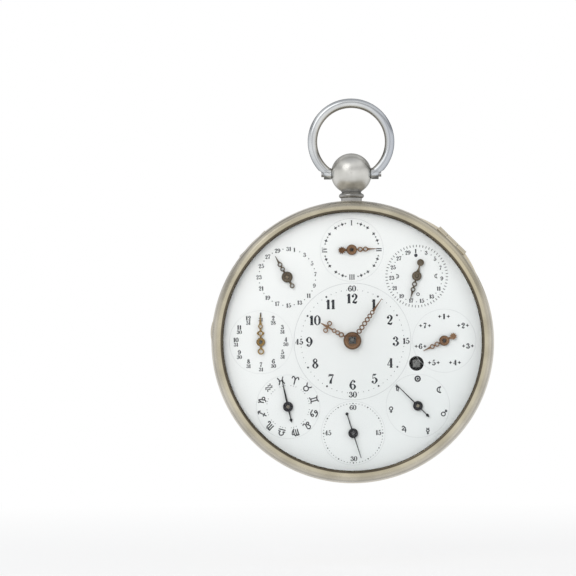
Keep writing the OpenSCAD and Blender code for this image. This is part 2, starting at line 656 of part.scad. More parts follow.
// Pierced bridge over the balance, on two feet
module balance_cock() color(gilt) watch_frame() difference() {
    union() {
        at(balance_p, cock_z0) cylinder(r = 5.6, h = cock_t);
        slab(cock_z0, cock_t) polygon([for (s = [[-1, -1], [1, -1], [1, 1], [-1, 1]])
            balance_p + polar(s[0] * cock_reach, cock_a + 90) + polar(s[1] * 0.9, cock_a)]);
        for (p = cock_foot_places) at(p) disc(1.1, cock_z0, back_z0);
    }
    for (p = cock_foot_places) at(p) disc(0.45, cock_z0 - 1, back_z0 + 1);
    at(balance_p) disc(0.15 + run, cock_z0 - 1, cock_z1 + 1);
    for (i = [0:7], hole = [[2.2, 0.4, 22.5], [3.9, 0.95, 22.5], [4.7, 0.3, 45]])
        at(balance_p + polar(hole[0], cock_a + 45 * i + hole[2])) disc(hole[1], cock_z0 - 1, cock_z1 + 1);
}
// REGULATOR
lever_z1 = back_z0 - 0.08;
lever_t = 0.22;
rack_step = 360 * rack_pinion_r / rack_r / rack_leaves;
module regulator_lever() color(steel) watch_frame() at(balance_p) {
    slab(lever_z1 - lever_t, lever_t) difference() {
        union() {
            circle(lever_in + 0.8);
            rotate(rack_a) translate([0, -0.5]) square([rack_r - 1.2, 1]);
            // Toothed sector at the far end of the arm
            rotate(rack_a) polygon(concat(
                [for (k = [-4:4], p = [[-0.9, -0.22], [0.3, -0.13], [0.3, 0.13], [-0.9, 0.22]])
                    polar(rack_r + p[0] * rack_m, rack_step * (k + p[1]))],
                [for (a = [1, 0, -1]) polar(rack_r - 1.6, a * rack_step * 4.4)]));
        }
        circle(lever_in);
    }
    // Curb arm and its two pins astride the outer coil of the spring
    rotate([0, 0, 180]) slab(lever_z1 - lever_t - 0.15, 0.2) translate([2.7, -0.3])
        square([lever_in + 0.8 - 2.7, 0.6]);
    rotate([0, 0, 180]) for (d = [-0.17, 0.17]) translate([coil_r(spring_steps * 3.5) + d, 0, 0])
        disc(0.06, back_z0 - 0.95, lever_z1 - lever_t);
}
module regulator_arbor() color(steel) watch_frame() at(regulator_p) {
    arbor([[regulator_z - hand_t, 0.6], [back_z0 - 0.6, 0.45], [back_z1 - 0.1, 0]]);
    slab(back_z0 - 0.34, 0.3)
        polygon(toothed(rack_leaves, pinion_leaf(rack_leaves, rack_m), rack_a + 180 + 180 / rack_leaves));
    translate([-0.6, -0.6, regulator_z - hand_t - 0.25]) cube([1.2, 1.2, 0.5]);
}

// POWER
barrel_z0 = back_z1 + 0.3;
barrel_z1 = plate_z0 - 1.7;
module barrel() color(brass) watch_frame() at(barrel_p) rotate_extrude() polygon([
    [barrel_arbor_r + run, barrel_z0], [barrel_r, barrel_z0], [barrel_r, barrel_z1],
    [barrel_arbor_r + run, barrel_z1], [barrel_arbor_r + run, barrel_z1 - 0.35],
    [barrel_r - 0.4, barrel_z1 - 0.35], [barrel_r - 0.4, barrel_z0 + 0.35],
    [barrel_arbor_r + run, barrel_z0 + 0.35]]);
ratchet_n = 24;
module barrel_arbor() color(steel) watch_frame() at(barrel_p) {
    arbor([[back_z0 - 0.2, barrel_arbor_r], [barrel_z0 + 0.4, 1.6], [barrel_z1 - 0.4, barrel_arbor_r],
        [plate_z1 + 0.4, 0]]);
    slab(plate_z1 + 0.03, 0.3) polygon([for (k = [0:ratchet_n - 1], p = [[2.1, 0], [2.5, 0]])
        polar(p[0], 360 / ratchet_n * (k + p[1]))]);
    translate([-0.55, -0.55, plate_z1 + 0.3]) cube([1.1, 1.1, 0.7]);
}
main_turns = 6;
main_steps = 24;
function main_r(i) = 1.8 + (barrel_r - 2.3) * i / (main_turns * main_steps);
module mainspring() color(blued) watch_frame() at(barrel_p)
    slab(barrel_z0 + 0.5, barrel_z1 - barrel_z0 - 1) polygon(concat(
        [for (i = [0:main_turns * main_steps]) polar(main_r(i) + 0.14, 360 / main_steps * i)],
        [for (i = [main_turns * main_steps:-1:0]) polar(main_r(i) - 0.14, 360 / main_steps * i)]));
fusee_z0 = great_z + great_t + 0.05;
fusee_z1 = plate_z0 - 1.5;
fusee_base_r = 6.4;
fusee_top_r = 3.2;
groove_n = 6;
function fusee_r(s) = fusee_top_r + (fusee_base_r - fusee_top_r) * pow(1 - s, 1.5);
// Grooved cone that evens out the mainspring's pull, with the winding square above it
module fusee() color(brass) watch_frame() at(fusee_p) {
    translate([0, 0, fusee_z0]) rotate_extrude() polygon(concat([[0, 0]],
        [for (k = [0:groove_n - 1], p = [[0, 0], [0.22, 0], [0.22, -0.3], [0.9, -0.3], [0.9, 0]])
            [fusee_r((k + p[0]) / groove_n) + p[1], (fusee_z1 - fusee_z0) * (k + p[0]) / groove_n]],
        [[fusee_top_r, fusee_z1 - fusee_z0], [0, fusee_z1 - fusee_z0]]));
    arbor([[back_z0 + 0.1, 0.5], [back_z1 + 0.05, 0.9], [fusee_z0 + 0.1, 0]]);
    arbor([[fusee_z1 - 0.1, 1.4], [plate_z0 - 0.05, fusee_arbor_r], [plate_z1 + 0.4, 0]]);
    translate([-winding_square / 2, -winding_square / 2, plate_z1 + 0.2])
        cube([winding_square, winding_square, dial_z1 - plate_z1 - 0.2]);
}
winding_square = 1.6;
module great_wheel() color(brass) watch_frame() at(fusee_p) difference() {
    slab(great_z, great_t)
        toothed_wheel(great_n, great_m, great_first, great_n * great_m / 2 - 1.5, 4, 4, 1.3);
    disc(0.9, great_z - 1, great_z + great_t + 1);
}
great_first = in_mesh(centre_leaves, 0, great_n, angle_to([0, 0], fusee_p));
chain_r1 = barrel_r + 0.35;
chain_z = great_z + great_t + 1.0;
chain_s = (chain_z - fusee_z0) / (fusee_z1 - fusee_z0);
chain_r2 = fusee_r(chain_s) + 0.55;
chain_a = angle_to(barrel_p, fusee_p) + acos((chain_r1 - chain_r2) / norm(fusee_p - barrel_p));
chain_start = barrel_p + polar(chain_r1, chain_a);
chain_end = fusee_p + polar(chain_r2, chain_a);
chain_links = 13;
// Riveted links on the straight run, and the wound parts on barrel and fusee
module fusee_chain() color(steel) watch_frame() {
    run_len = norm(chain_end - chain_start);
    link = run_len / chain_links;
    at(chain_start, chain_z) rotate([0, 0, angle_to(chain_start, chain_end)])
        for (i = [0:chain_links - 1]) translate([link * i, 0, 0]) rotate([90, 0, 0]) {
            wide = i % 2 == 0;
            for (s = wide ? [-1, 1] : [0]) translate([0, 0, s * 0.16 - 0.06]) linear_extrude(height = 0.12)
                union() {
                    for (e = [0.05, 0.95]) translate([link * e, 0]) circle(0.34);
                    translate([link * 0.05, -0.2]) square([link * 0.9, 0.4]);
                }
            for (e = [0.05, 0.95]) translate([link * e, 0, -0.22]) cylinder(r = 0.12, h = 0.44);
        }
    at(barrel_p, chain_z - 0.3) rotate([0, 0, chain_a]) rotate_extrude(angle = 250)
        translate([barrel_r + 0.05, 0]) square([0.4, 0.6]);
    at(fusee_p, chain_z - 0.16) rotate([0, 0, chain_a - 150]) rotate_extrude(angle = 150)
        translate([fusee_r(chain_s) + 0.36, 0]) square([0.36, 0.32]);
}

// GOING TRAIN
module centre_wheel() color(brass) watch_frame() {
    slab(centre_z, wheel_t)
        toothed_wheel(centre_n, centre_m, 0, centre_n * centre_m / 2 - 1.3, 2.2, 4, 0.9);
    slab(great_z - 0.1, great_t + 0.2)
        polygon(toothed(centre_leaves, pinion_leaf(centre_leaves, great_m), 0));
    arbor([[back_z0 + 0.1, pivot_r], [back_z1 + 0.05, 0.9], [plate_z0 - 0.1, centre_arbor_r],
        [minute_z + hand_t, 0]]);
}
module third_wheel() color(brass) watch_frame() at(third_p) {
    slab(third_z, wheel_t)
        toothed_wheel(third_n, third_m, 0, third_n * third_m / 2 - 1.1, 1.6, 4, 0.7);
    slab(centre_z - 0.15, wheel_t + 0.3) polygon(toothed(third_leaves,
        pinion_leaf(third_leaves, centre_m),
        in_mesh(centre_n, 0, third_leaves, angle_to([0, 0], third_p))));
    arbor([[back_z0 + 0.2, pivot_r], [back_z1 + 0.05, 0.5], [plate_z0 - 0.05, pivot_r],
        [plate_z1 - 0.2, 0]]);
}
contrate_first = verge_a;
contrate_tooth_w = 0.24;
module contrate_wheel() color(brass) watch_frame() at(seconds_p) {
    slab(contrate_z, 0.35) difference() {
        circle(contrate_r + 0.25);
        difference() {
            circle(contrate_r - 0.3);
            circle(1.1);
            for (i = [0:3]) rotate(90 * i + 25) translate([0, -0.3]) square([contrate_r, 0.6]);
        }
    }
    for (k = [0:contrate_n - 1]) rotate([0, 0, contrate_first + 360 / contrate_n * k])
        translate([contrate_r - 0.25, 0, contrate_z]) rotate([90, 0, 90])
            linear_extrude(height = 0.5) polygon([[-contrate_tooth_w / 2, 0.1],
                [-contrate_tooth_w / 2, -0.57], [-0.05, -0.75], [0.05, -0.75],
                [contrate_tooth_w / 2, -0.57], [contrate_tooth_w / 2, 0.1]]);
    slab(third_z - 0.1, wheel_t + 0.2) polygon(toothed(contrate_leaves,
        pinion_leaf(contrate_leaves, third_m),
        in_mesh(third_n, 0, contrate_leaves, angle_to(third_p, seconds_p))));
    arbor([[back_z0 + 0.2, pivot_r], [back_z1 + 0.05, 0.4], [third_z + 0.1, 0.5],
        [plate_z0 - 0.05, 0.35], [sub_z + hand_t + 0.1, 0]]);
}

// MOTION WORK AND DAY WHEELS
cannon_first = angle_to([0, 0], motion_p);
hour_first = 0;
module cannon_pinion() color(steel) watch_frame() difference() {
    union() {
        arbor([[motion_z, cannon_r], [hour_z + hand_t + 0.05, 0]]);
        slab(motion_z, motion_t)
            polygon(toothed(cannon_n, pinion_leaf(cannon_n, cannon_m), cannon_first));
        translate([-cannon_square / 2, -cannon_square / 2, hour_z + hand_t])
            cube([cannon_square, cannon_square, 2 * hand_gap + 2 * hand_t]);
    }
    disc(centre_arbor_r, motion_z - 1, minute_z + 2);
}
module minute_wheel() color(brass) watch_frame() at(motion_p) difference() {
    union() {
        slab(motion_z, motion_t) toothed_wheel(minute_n, cannon_m,
            in_mesh(cannon_n, cannon_first, minute_n, angle_to([0, 0], motion_p)),
            minute_n * cannon_m / 2 - 1, 1.7, 4, 0.7);
        slab(motion_z + motion_t - 0.02, motion_t + 0.12) polygon(toothed(minute_leaves,
            pinion_leaf(minute_leaves, hour_m),
            in_mesh(hour_n, hour_first, minute_leaves, angle_to([0, 0], motion_p))));
    }
    disc(0.4 + run, motion_z - 1, hour_wheel_z + 2);
}
module hour_wheel() color(brass) watch_frame() difference() {
    union() {
        arbor([[hour_wheel_z, hour_pipe_r], [hour_z + hand_t, 0]]);
        slab(hour_wheel_z, motion_t)
            toothed_wheel(hour_n, hour_m, hour_first, hour_n * hour_m / 2 - 0.9, 2.2, 4, 0.8);
        slab(hour_wheel_z + motion_t - 0.02, day_z + day_t - hour_wheel_z - motion_t + 0.02)
            polygon(toothed(hour_leaves, pinion_leaf(hour_leaves, day_m), hour_first));
    }
    disc(hour_pipe_in, hour_wheel_z - 1, hour_z + 2);
}
pin_r = 0.2;
pin_track = 5.6;
// pins holds [angle, top] of each pin that steps a star
module day_wheel(a, pins) at(polar(day_r, a)) {
    difference() {
        slab(day_z, day_t) toothed_wheel(day_n, day_m, in_mesh(hour_leaves, hour_first, day_n, a),
            day_n * day_m / 2 - 0.9, 1.6, 5, 0.8);
        disc(0.45 + run, day_z - 1, day_z + 1);
    }
    for (p = pins) rotate([0, 0, p[0]]) translate([pin_track, 0, 0]) {
        disc(pin_r, day_z, p[1]);
        disc(0.75, day_z, day_z + day_t);
    }
}
tall_pin = star_z + star_t - 0.03;
short_pin = moon_star_z + star_t - 0.02;
module date_day_wheel() color(brass) watch_frame() day_wheel(date_day_a, [[200, tall_pin]]);
module moon_day_wheel() color(brass) watch_frame()
    day_wheel(moon_day_a, [[110, tall_pin], [290, short_pin]]);
module planet_day_wheel() color(brass) watch_frame() day_wheel(planet_day_a, [[20, tall_pin]]);

// CALENDAR STARS
// A star wheel on its arbor, which runs in both plates and carries a hand above the dial
module star(c, n, r, depth, z) at(clock(sub_r, c)) {
    slab(z, star_t) difference() {
        polygon([for (k = [0:n - 1], p = [[r - depth, -0.5], [r, -0.08], [r, 0.08]])
            polar(p[0], 90 - c + 360 / n * (k + p[1]))]);
        for (i = [0:3]) rotate(90 * i + 45) translate([(r - depth + 0.8) / 2, 0])
            circle((r - depth - 0.8) / 2 - 0.5);
    }
    arbor([[plate_z0 + 0.3, star_arbor_r], [sub_z + hand_t + 0.1, 0]]);
    disc(0.8, z - 0.2, z + star_t + 0.1);
}
module date_star() color(steel) watch_frame() star(date_c, 31, star_r, 0.6, star_z);
module season_star() color(steel) watch_frame() star(season_c, 4, short_star_r, 2, star_z);
module moon_star() color(steel) watch_frame() star(moon_c, 59, star_r, 0.45, moon_star_z);
module weekday_star() color(steel) watch_frame() star(weekday_c, 7, star_r, 1.8, star_z);
module planet_star() color(steel) watch_frame() star(planet_c, 7, star_r, 1.8, star_z);
module zodiac_star() color(steel) watch_frame() star(zodiac_c, 12, short_star_r, 1, star_z);
module month_star() color(steel) watch_frame() star(month_c, 12, short_star_r, 1, star_z);

// HANDS, each drawn pointing up along y
// Discs and pierced rings are listed as [height, radius, offset]; children are flat outlines
module hand(p, z, c, bore, discs, rings) at(p, z) rotate([0, 0, -c]) difference() {
    union() {
        for (i = [0:$children - 1]) linear_extrude(height = hand_t) children(i);
        for (e = concat(discs, rings)) translate([e[2], e[0], 0]) cylinder(r = e[1], h = hand_t);
    }
    for (e = rings) translate([e[2], e[0], -1]) cylinder(r = e[1] * 0.56, h = 2);
    translate([0, 0, -1]) cylinder(r = bore, h = 2);
}
module stem(low, high, w = 0.32) translate([-w / 2, low]) square([w, high - low]);
module needle(y, w, tip) polygon([[-w / 2, y], [-w * 0.27, y + (tip - y) * 0.35], [-0.05, tip],
    [0.05, tip], [w * 0.27, y + (tip - y) * 0.35], [w / 2, y]]);
// Straight blade with a widened tail
module blade(tip, w, tail, leaf) polygon([[-0.07, tip], [0.07, tip], [w / 2, 0],
    [0.1, 0.6 - tail], [leaf, 0.25 - tail], [0.06, -tail - 0.35], [-0.06, -tail - 0.35],
    [-leaf, 0.25 - tail], [-0.1, 0.6 - tail], [-w / 2, 0]]);
// Small sun with pointed rays
module sun(y, r) translate([0, y])
    polygon([for (k = [0:19]) polar(r * (k % 2 == 0 ? 1 : 0.66), 18 * k + 9)]);
module minute_hand() color(copper) watch_frame() difference() {
    hand([0, 0], minute_z, 35, 0.3, [[0, hub_r, 0]], [[2.6, 0.58, 0], [3.65, 0.57, 0],
        [4.68, 0.56, 0], [5.7, 0.55, 0], [6.68, 0.53, 0], [7.62, 0.5, 0]]) {
        stem(hub_r - 0.3, 8.2);
        needle(7.95, 0.6, minute_len);
    }
    translate([-cannon_square / 2, -cannon_square / 2, minute_z - 1])
        cube([cannon_square, cannon_square, 2]);
}
module hour_hand() color(copper) watch_frame()
    hand([0, 0], hour_z, 300.5, hour_pipe_r, [[0, hub_r, 0]],
        [[2.8, 0.6, 0], [3.72, 0.52, 0], [4.6, 0.5, 0], [6.25, 0.54, -0.88], [6.25, 0.54, 0.88]]) {
        stem(hub_r - 0.3, 7.2, 0.36);
        translate([-0.5, 6.1]) square([1, 0.3]);
        needle(6, 0.9, hour_len);
    }
module date_hand() color(steel) watch_frame()
    hand(clock(sub_r, date_c), sub_z, 330.6, star_arbor_r, [[0, 1.2, 0]],
        [[2, 0.5, 0], [3.15, 0.53, 0], [-2.2, 0.54, 0]]) {
        stem(0.9, 3.8, 0.4);
        stem(-2, -0.9, 0.5);
        needle(3.5, 0.56, 5.3);
    }
module season_hand() color(copper) watch_frame()
    hand(clock(sub_r, season_c), sub_z, 87.7, star_arbor_r,
        [[0, 1.15, 0]], [[1.85, 0.56, 0], [3, 0.56, 0]]) {
        stem(0.9, 3.7, 0.4);
        stem(-2, -0.9, 0.5);
        sun(-2.15, 0.88);
        needle(3.4, 0.56, 5.3);
    }
module moon_hand() color(steel) watch_frame()
    hand(clock(sub_r, moon_c), sub_z, 196, star_arbor_r, [[0, 1.04, 0], [-3.05, 0.76, 0]],
        [[1.84, 0.56, 0], [3.05, 0.53, 0]]) {
        stem(0.8, 3.7, 0.4);
        polygon([[-0.5, -0.7], [-0.17, -1.7], [-0.17, -2.6], [0.17, -2.6], [0.17, -1.7], [0.5, -0.7]]);
        needle(3.45, 0.56, 5.3);
    }
module weekday_hand() color(copper) watch_frame()
    hand(clock(sub_r, weekday_c), sub_z, 244.4, star_arbor_r,
        [[0, 1.12, 0]], [[1.76, 0.55, 0], [2.9, 0.53, 0]]) {
        stem(0.9, 3.6, 0.4);
        stem(-2, -0.9, 0.5);
        sun(-2.17, 0.84);
        needle(3.3, 0.56, 5.1);
    }
module month_hand() color(gilt) watch_frame()
    hand(clock(sub_r, month_c), sub_z, 359.2, star_arbor_r, [[0, 0.96, 0], [1.9, 0.4, -0.4], [1.9, 0.4, 0.4]],
        [[1.9, 0.6, 0], [3.42, 0.52, 0], [-2.06, 0.7, 0]]) {
        stem(0.7, 4.3, 0.42);
        stem(-1.8, -0.7, 0.42);
        needle(3.8, 0.66, 6.2);
    }
module zodiac_hand() color(blued) watch_frame()
    hand(clock(sub_r, zodiac_c), sub_z, 347.6, star_arbor_r, [[0, 1.1, 0]], [])
        blade(6.1, 0.5, 3.15, 0.33);
module planet_hand() color(blued) watch_frame()
    hand(clock(sub_r, planet_c), sub_z, 315, star_arbor_r, [[0, 1.06, 0]], [])
        blade(6.6, 0.26, 3.1, 0.36);
module seconds_hand() color(blued) watch_frame()
    hand(seconds_p, sub_z, 162.5, 0.35, [[0, 1.06, 0], [-4.4, 0.33, 0]], [])
        blade(5.7, 0.26, 4.3, 0.12);
module regulator_hand() color(gilt) watch_frame() at(regulator_p) difference() {
    slab(regulator_z - hand_t, hand_t) union() {
        circle(1.95);
        polygon([[1.5, -0.55], [regulator_len * 0.6, -0.32], [regulator_len, -0.05],
            [regulator_len, 0.05], [regulator_len * 0.6, 0.32], [1.5, 0.55]]);
    }
    translate([-0.6, -0.6, regulator_z - 2]) cube([1.2, 1.2, 4]);
}

case_band();
pendant_neck();
pendant_ball();
screws();
hinge_pins();
bow();
front_bezel();
front_glass();
back_bezel();
back_glass();
back_ring();
front_dial();
back_dial();
pillar_plate();
back_plate();
movement_pillars();
calendar_plate();
calendar_posts();
jumper_springs();
potences();
balance_cock();
barrel_arbor();
barrel();
mainspring();
fusee_chain();
fusee();
great_wheel();
centre_wheel();
cannon_pinion();
minute_wheel();
hour_wheel();
third_wheel();
contrate_wheel();
crown_wheel();
verge_staff();
balance_wheel();
balance_spring();
date_day_wheel();
moon_day_wheel();
planet_day_wheel();
date_star();
season_star();
moon_star();
weekday_star();
planet_star();
zodiac_star();
month_star();
minute_hand();
hour_hand();
seconds_hand();
date_hand();
season_hand();
moon_hand();
weekday_hand();
planet_hand();
zodiac_hand();
month_hand();
regulator_hand();
regulator_arbor();
regulator_lever();
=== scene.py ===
import json
import math
from collections import namedtuple
import bpy
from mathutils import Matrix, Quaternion, Vector


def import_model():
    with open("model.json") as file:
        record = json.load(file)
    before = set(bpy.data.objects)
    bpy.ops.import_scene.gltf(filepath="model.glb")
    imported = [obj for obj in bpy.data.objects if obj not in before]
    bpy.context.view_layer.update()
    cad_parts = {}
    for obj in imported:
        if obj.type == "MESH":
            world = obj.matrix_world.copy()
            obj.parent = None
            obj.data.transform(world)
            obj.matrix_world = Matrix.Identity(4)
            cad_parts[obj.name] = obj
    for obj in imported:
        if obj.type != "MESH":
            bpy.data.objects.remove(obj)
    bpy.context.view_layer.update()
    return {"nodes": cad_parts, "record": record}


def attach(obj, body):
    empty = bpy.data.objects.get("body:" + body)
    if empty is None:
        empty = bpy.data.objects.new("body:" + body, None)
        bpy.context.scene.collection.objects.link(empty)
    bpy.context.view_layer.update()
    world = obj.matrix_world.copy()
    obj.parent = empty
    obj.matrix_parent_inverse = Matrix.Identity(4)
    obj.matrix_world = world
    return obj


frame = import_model()

# Sizes are in millimetres. On the watch, x is right, y is up and z is to the front of its centre.
MM = 0.001

# The bow's centre above the watch's centre, and the radius inside it
BOW_Y = 44.4
BOW_BORE = 7.5
# The frame's origin is where the watch hangs, inside the top of the bow
HANG = BOW_Y + BOW_BORE
# The watch's centre in the frame, in metres
CENTRE = (0, 0, -HANG * MM)

# Each enamel dial: its radius, its rim's distance from the middle plane, and the height of its crown
FRONT_R = 28.3
FRONT_Z = 6.3
FRONT_RISE = 0.5
BACK_R = 27.35
BACK_Z = 10.0
BACK_RISE = 0.35
# Height of the paint over the enamel
LIFT = 0.012

# The sub-dials' arbors lie on this circle
SUB_R = 20.0
SUB_DIALS = ("season", "moon", "weekday", "planet", "seconds", "zodiac", "month", "date")
# An arbor's end has a colour of its own within this radius of its axis
ARBOR_END_R = 0.6
# The winding square's place, and how far round it the metal under its hole has painted shade
WINDING = (13.9, -4.9)
WINDING_SHADE_R = 2.3
# The regulator's arbor on the back dial
REGULATOR = (12.7, 0)
# Days from one new moon to the next
LUNATION = 29.5


def clock(r, degrees, centre=(0, 0)):
    """The point at a radius and an angle, clockwise from the top, about a centre."""
    a = math.radians(degrees)
    return centre[0] + r * math.sin(a), centre[1] + r * math.cos(a)


ARBORS = {name: clock(SUB_R, 45 * k) for k, name in enumerate(SUB_DIALS)}


# Materials

def principled(name):
    """A new material with its node tree and its Principled shader."""
    m = bpy.data.materials.new(name)
    m.use_nodes = True
    return m, m.node_tree, m.node_tree.nodes["Principled BSDF"]


def material(name, colour, metallic, rough, coat=0.0):
    m, tree, shader = principled(name)
    shader.inputs["Base Color"].default_value = (*colour, 1)
    shader.inputs["Metallic"].default_value = metallic
    shader.inputs["Roughness"].default_value = rough
    shader.inputs["Coat Weight"].default_value = coat
    shader.inputs["Coat Roughness"].default_value = 0.05
    return m, tree, shader


def copy_of(base, name):
    m = base.copy()
    m.name = name
    return m


def noise(tree, scale, detail):
    """Noise in object space, in metres."""
    coords = tree.nodes.new("ShaderNodeTexCoord")
    texture = tree.nodes.new("ShaderNodeTexNoise")
    texture.inputs["Scale"].default_value = scale
    texture.inputs["Detail"].default_value = detail
    tree.links.new(coords.outputs["Object"], texture.inputs["Vector"])
    return texture


def vary_colour(tree, shader, texture, low, high, at=(0.35, 0.65)):
    ramp = tree.nodes.new("ShaderNodeValToRGB")
    for element, position, colour in zip(ramp.color_ramp.elements, at, (low, high)):
        element.position = position
        element.color = (*colour, 1)
    tree.links.new(texture.outputs["Fac"], ramp.inputs["Fac"])
    tree.links.new(ramp.outputs["Color"], shader.inputs["Base Color"])


def vary_roughness(tree, shader, texture, low, high):
    remap = tree.nodes.new("ShaderNodeMapRange")
    remap.inputs["To Min"].default_value = low
    remap.inputs["To Max"].default_value = high
    tree.links.new(texture.outputs["Fac"], remap.inputs["Value"])
    tree.links.new(remap.outputs["Result"], shader.inputs["Roughness"])


def bump(tree, shader, texture, strength, distance):
    node = tree.nodes.new("ShaderNodeBump")
    node.inputs["Strength"].default_value = strength
    node.inputs["Distance"].default_value = distance
    tree.links.new(texture.outputs["Fac"], node.inputs["Height"])
    tree.links.new(node.outputs["Normal"], shader.inputs["Normal"])


def metal(name, low, high, rough, grain=900, dents=0.05, rim=0.5):
    """A metal stained between two colours; rim is its brightness at a glancing angle."""
    m, tree, shader = material(name, low, metallic=1.0, rough=rough[0])
    shader.inputs["Specular Tint"].default_value = (rim, rim, rim, 1)
    vary_colour(tree, shader, noise(tree, scale=160, detail=4), low, high)
    fine = noise(tree, scale=grain, detail=5)
    vary_roughness(tree, shader, fine, *rough)
    bump(tree, shader, fine, strength=dents, distance=0.1 * MM)
    return m


def enamel(name, low, high):
    m, tree, shader = material(name, low, metallic=0.0, rough=0.12, coat=0.3)
    vary_colour(tree, shader, noise(tree, scale=60, detail=2), low, high)
    bump(tree, shader, noise(tree, scale=120, detail=2), strength=0.03, distance=0.2 * MM)
    return m


def paint(name, low, high, rough=0.35):
    m, tree, shader = material(name, low, metallic=0.0, rough=rough)
    shader.inputs["Specular IOR Level"].default_value = 0.25
    vary_colour(tree, shader, noise(tree, scale=500, detail=3), low, high)
    return m


def either(tree, first, second):
    """The greater of two values."""
    node = tree.nodes.new("ShaderNodeMath")
    node.operation = "MAXIMUM"
    tree.links.new(first, node.inputs[0])
    tree.links.new(second, node.inputs[1])
    return node.outputs["Value"]


def glass(name):
    """Clear glass that lets the lamps' light through to the dial."""
    m, tree, shader = principled(name)
    shader.inputs["Base Color"].default_value = (0.985, 0.995, 0.99, 1)
    shader.inputs["Transmission Weight"].default_value = 1.0
    shader.inputs["IOR"].default_value = 1.25
    vary_roughness(tree, shader, noise(tree, scale=300, detail=2), 0.0, 0.03)
    paths = tree.nodes.new("ShaderNodeLightPath")
    clear = tree.nodes.new("ShaderNodeBsdfTransparent")
    passing = either(tree, paths.outputs["Is Shadow Ray"], paths.outputs["Is Diffuse Ray"])
    mix = tree.nodes.new("ShaderNodeMixShader")
    tree.links.new(passing, mix.inputs["Fac"])
    tree.links.new(shader.outputs["BSDF"], mix.inputs[1])
    tree.links.new(clear.outputs["BSDF"], mix.inputs[2])
    tree.links.new(mix.outputs["Shader"], tree.nodes["Material Output"].inputs["Surface"])
    return m


# Shading by place on the watch

def vector_math(tree, operation, vector, other=None):
    """A Vector Math node fed by a socket, with a fixed second vector."""
    node = tree.nodes.new("ShaderNodeVectorMath")
    node.operation = operation
    tree.links.new(vector, node.inputs[0])
    if other is not None:
        node.inputs[1].default_value = other
    return node.outputs


def from_point(tree, x=0, y=0):
    """Position, in metres, from x, y on the watch."""
    coords = tree.nodes.new("ShaderNodeTexCoord")
    point = (x * MM, 0, (y - HANG) * MM)
    return vector_math(tree, "SUBTRACT", coords.outputs["Object"], point)["Vector"]


def radius_from(tree, x, y):
    """Distance, in metres, from an arbor's axis at x, y."""
    flat = vector_math(tree, "MULTIPLY", from_point(tree, x, y), (1, 0, 1))["Vector"]
    return vector_math(tree, "LENGTH", flat)["Value"]


def along(tree, direction):
    """Distance, in metres, from the watch's centre in a direction."""
    return vector_math(tree, "DOT_PRODUCT", from_point(tree), direction)["Value"]


def over_base(tree, blend):
    """A Mix node over the material's colour; returns its factor and its second colour."""
    base = tree.nodes["Principled BSDF"].inputs["Base Color"]
    under = base.links[0].from_socket
    mix = tree.nodes.new("ShaderNodeMix")
    mix.data_type = "RGBA"
    mix.blend_type = blend
    first, second = [socket for socket in mix.inputs if socket.type == "RGBA"]
    result = next(socket for socket in mix.outputs if socket.type == "RGBA")
    tree.links.new(under, first)
    tree.links.new(result, base)
    return mix.inputs["Factor"], second


def tint(m, distance, colour, low, high):
    """Shades a material towards another colour while a distance goes from low to high."""
    tree = m.node_tree
    remap = tree.nodes.new("ShaderNodeMapRange")
    remap.inputs["From Min"].default_value = low * MM
    remap.inputs["From Max"].default_value = high * MM
    tree.links.new(distance, remap.inputs["Value"])
    factor, second = over_base(tree, "MIX")
    tree.links.new(remap.outputs["Result"], factor)
    second.default_value = (*colour, 1)
    return m


def bands(name, base, x, y, stops):
    """A copy of a material in rings round x, y; each stop is a radius and a share of the colour there."""
    m = copy_of(base, name)
    tree = m.node_tree
    (first, first_share), *middle, (last, last_share) = stops
    remap = tree.nodes.new("ShaderNodeMapRange")
    remap.inputs["From Min"].default_value = first * MM
    remap.inputs["From Max"].default_value = last * MM
    ramp = tree.nodes.new("ShaderNodeValToRGB")
    elements = ramp.color_ramp.elements
    elements[0].color = (*first_share, 1)
    elements[1].color = (*last_share, 1)
    for radius, share in middle:
        elements.new((radius - first) / (last - first)).color = (*share, 1)
    tree.links.new(radius_from(tree, x, y), remap.inputs["Value"])
    tree.links.new(remap.outputs["Result"], ramp.inputs["Fac"])
    factor, second = over_base(tree, "MULTIPLY")
    factor.default_value = 1.0
    tree.links.new(ramp.outputs["Color"], second)
    return m


def shades(*pairs):
    """Stops for bands that only darken: a radius and one share for all of the colour."""
    return [(radius, (share, share, share)) for radius, share in pairs]


def hub(name, base, x, y, radius):
    """A copy of a hand's metal with a dark line round its hub and round the arbor in it."""
    shares = ((0, 0.5), (0.4, 0.45), (0.5, 1), (0.8, 1), (0.92, 0.5), (1.04, 0.5), (1.2, 0.95))
    return bands(name, base, x, y, shades(*((part * radius, share) for part, share in shares)))


def worn_centre(name, base, x, y, radius, colour):
    """A copy of a metal that has another colour within a radius of an arbor: arbor ends get their own
    colour, and the metal under the winding hole gets painted shade.
    """
    m = copy_of(base, name)
    soft_edge = 0.08
    return tint(m, radius_from(m.node_tree, x, y), colour, radius + soft_edge, radius)


def gilded(name, base):
    """A copy of a silver with worn gilding at the watch's upper right."""
    m = copy_of(base, name)
    upper_right = (0.77, 0, 0.64)
    worn_gilt = (0.65, 0.59, 0.465)
    return tint(m, along(m.node_tree, upper_right), worn_gilt, low=26, high=31)


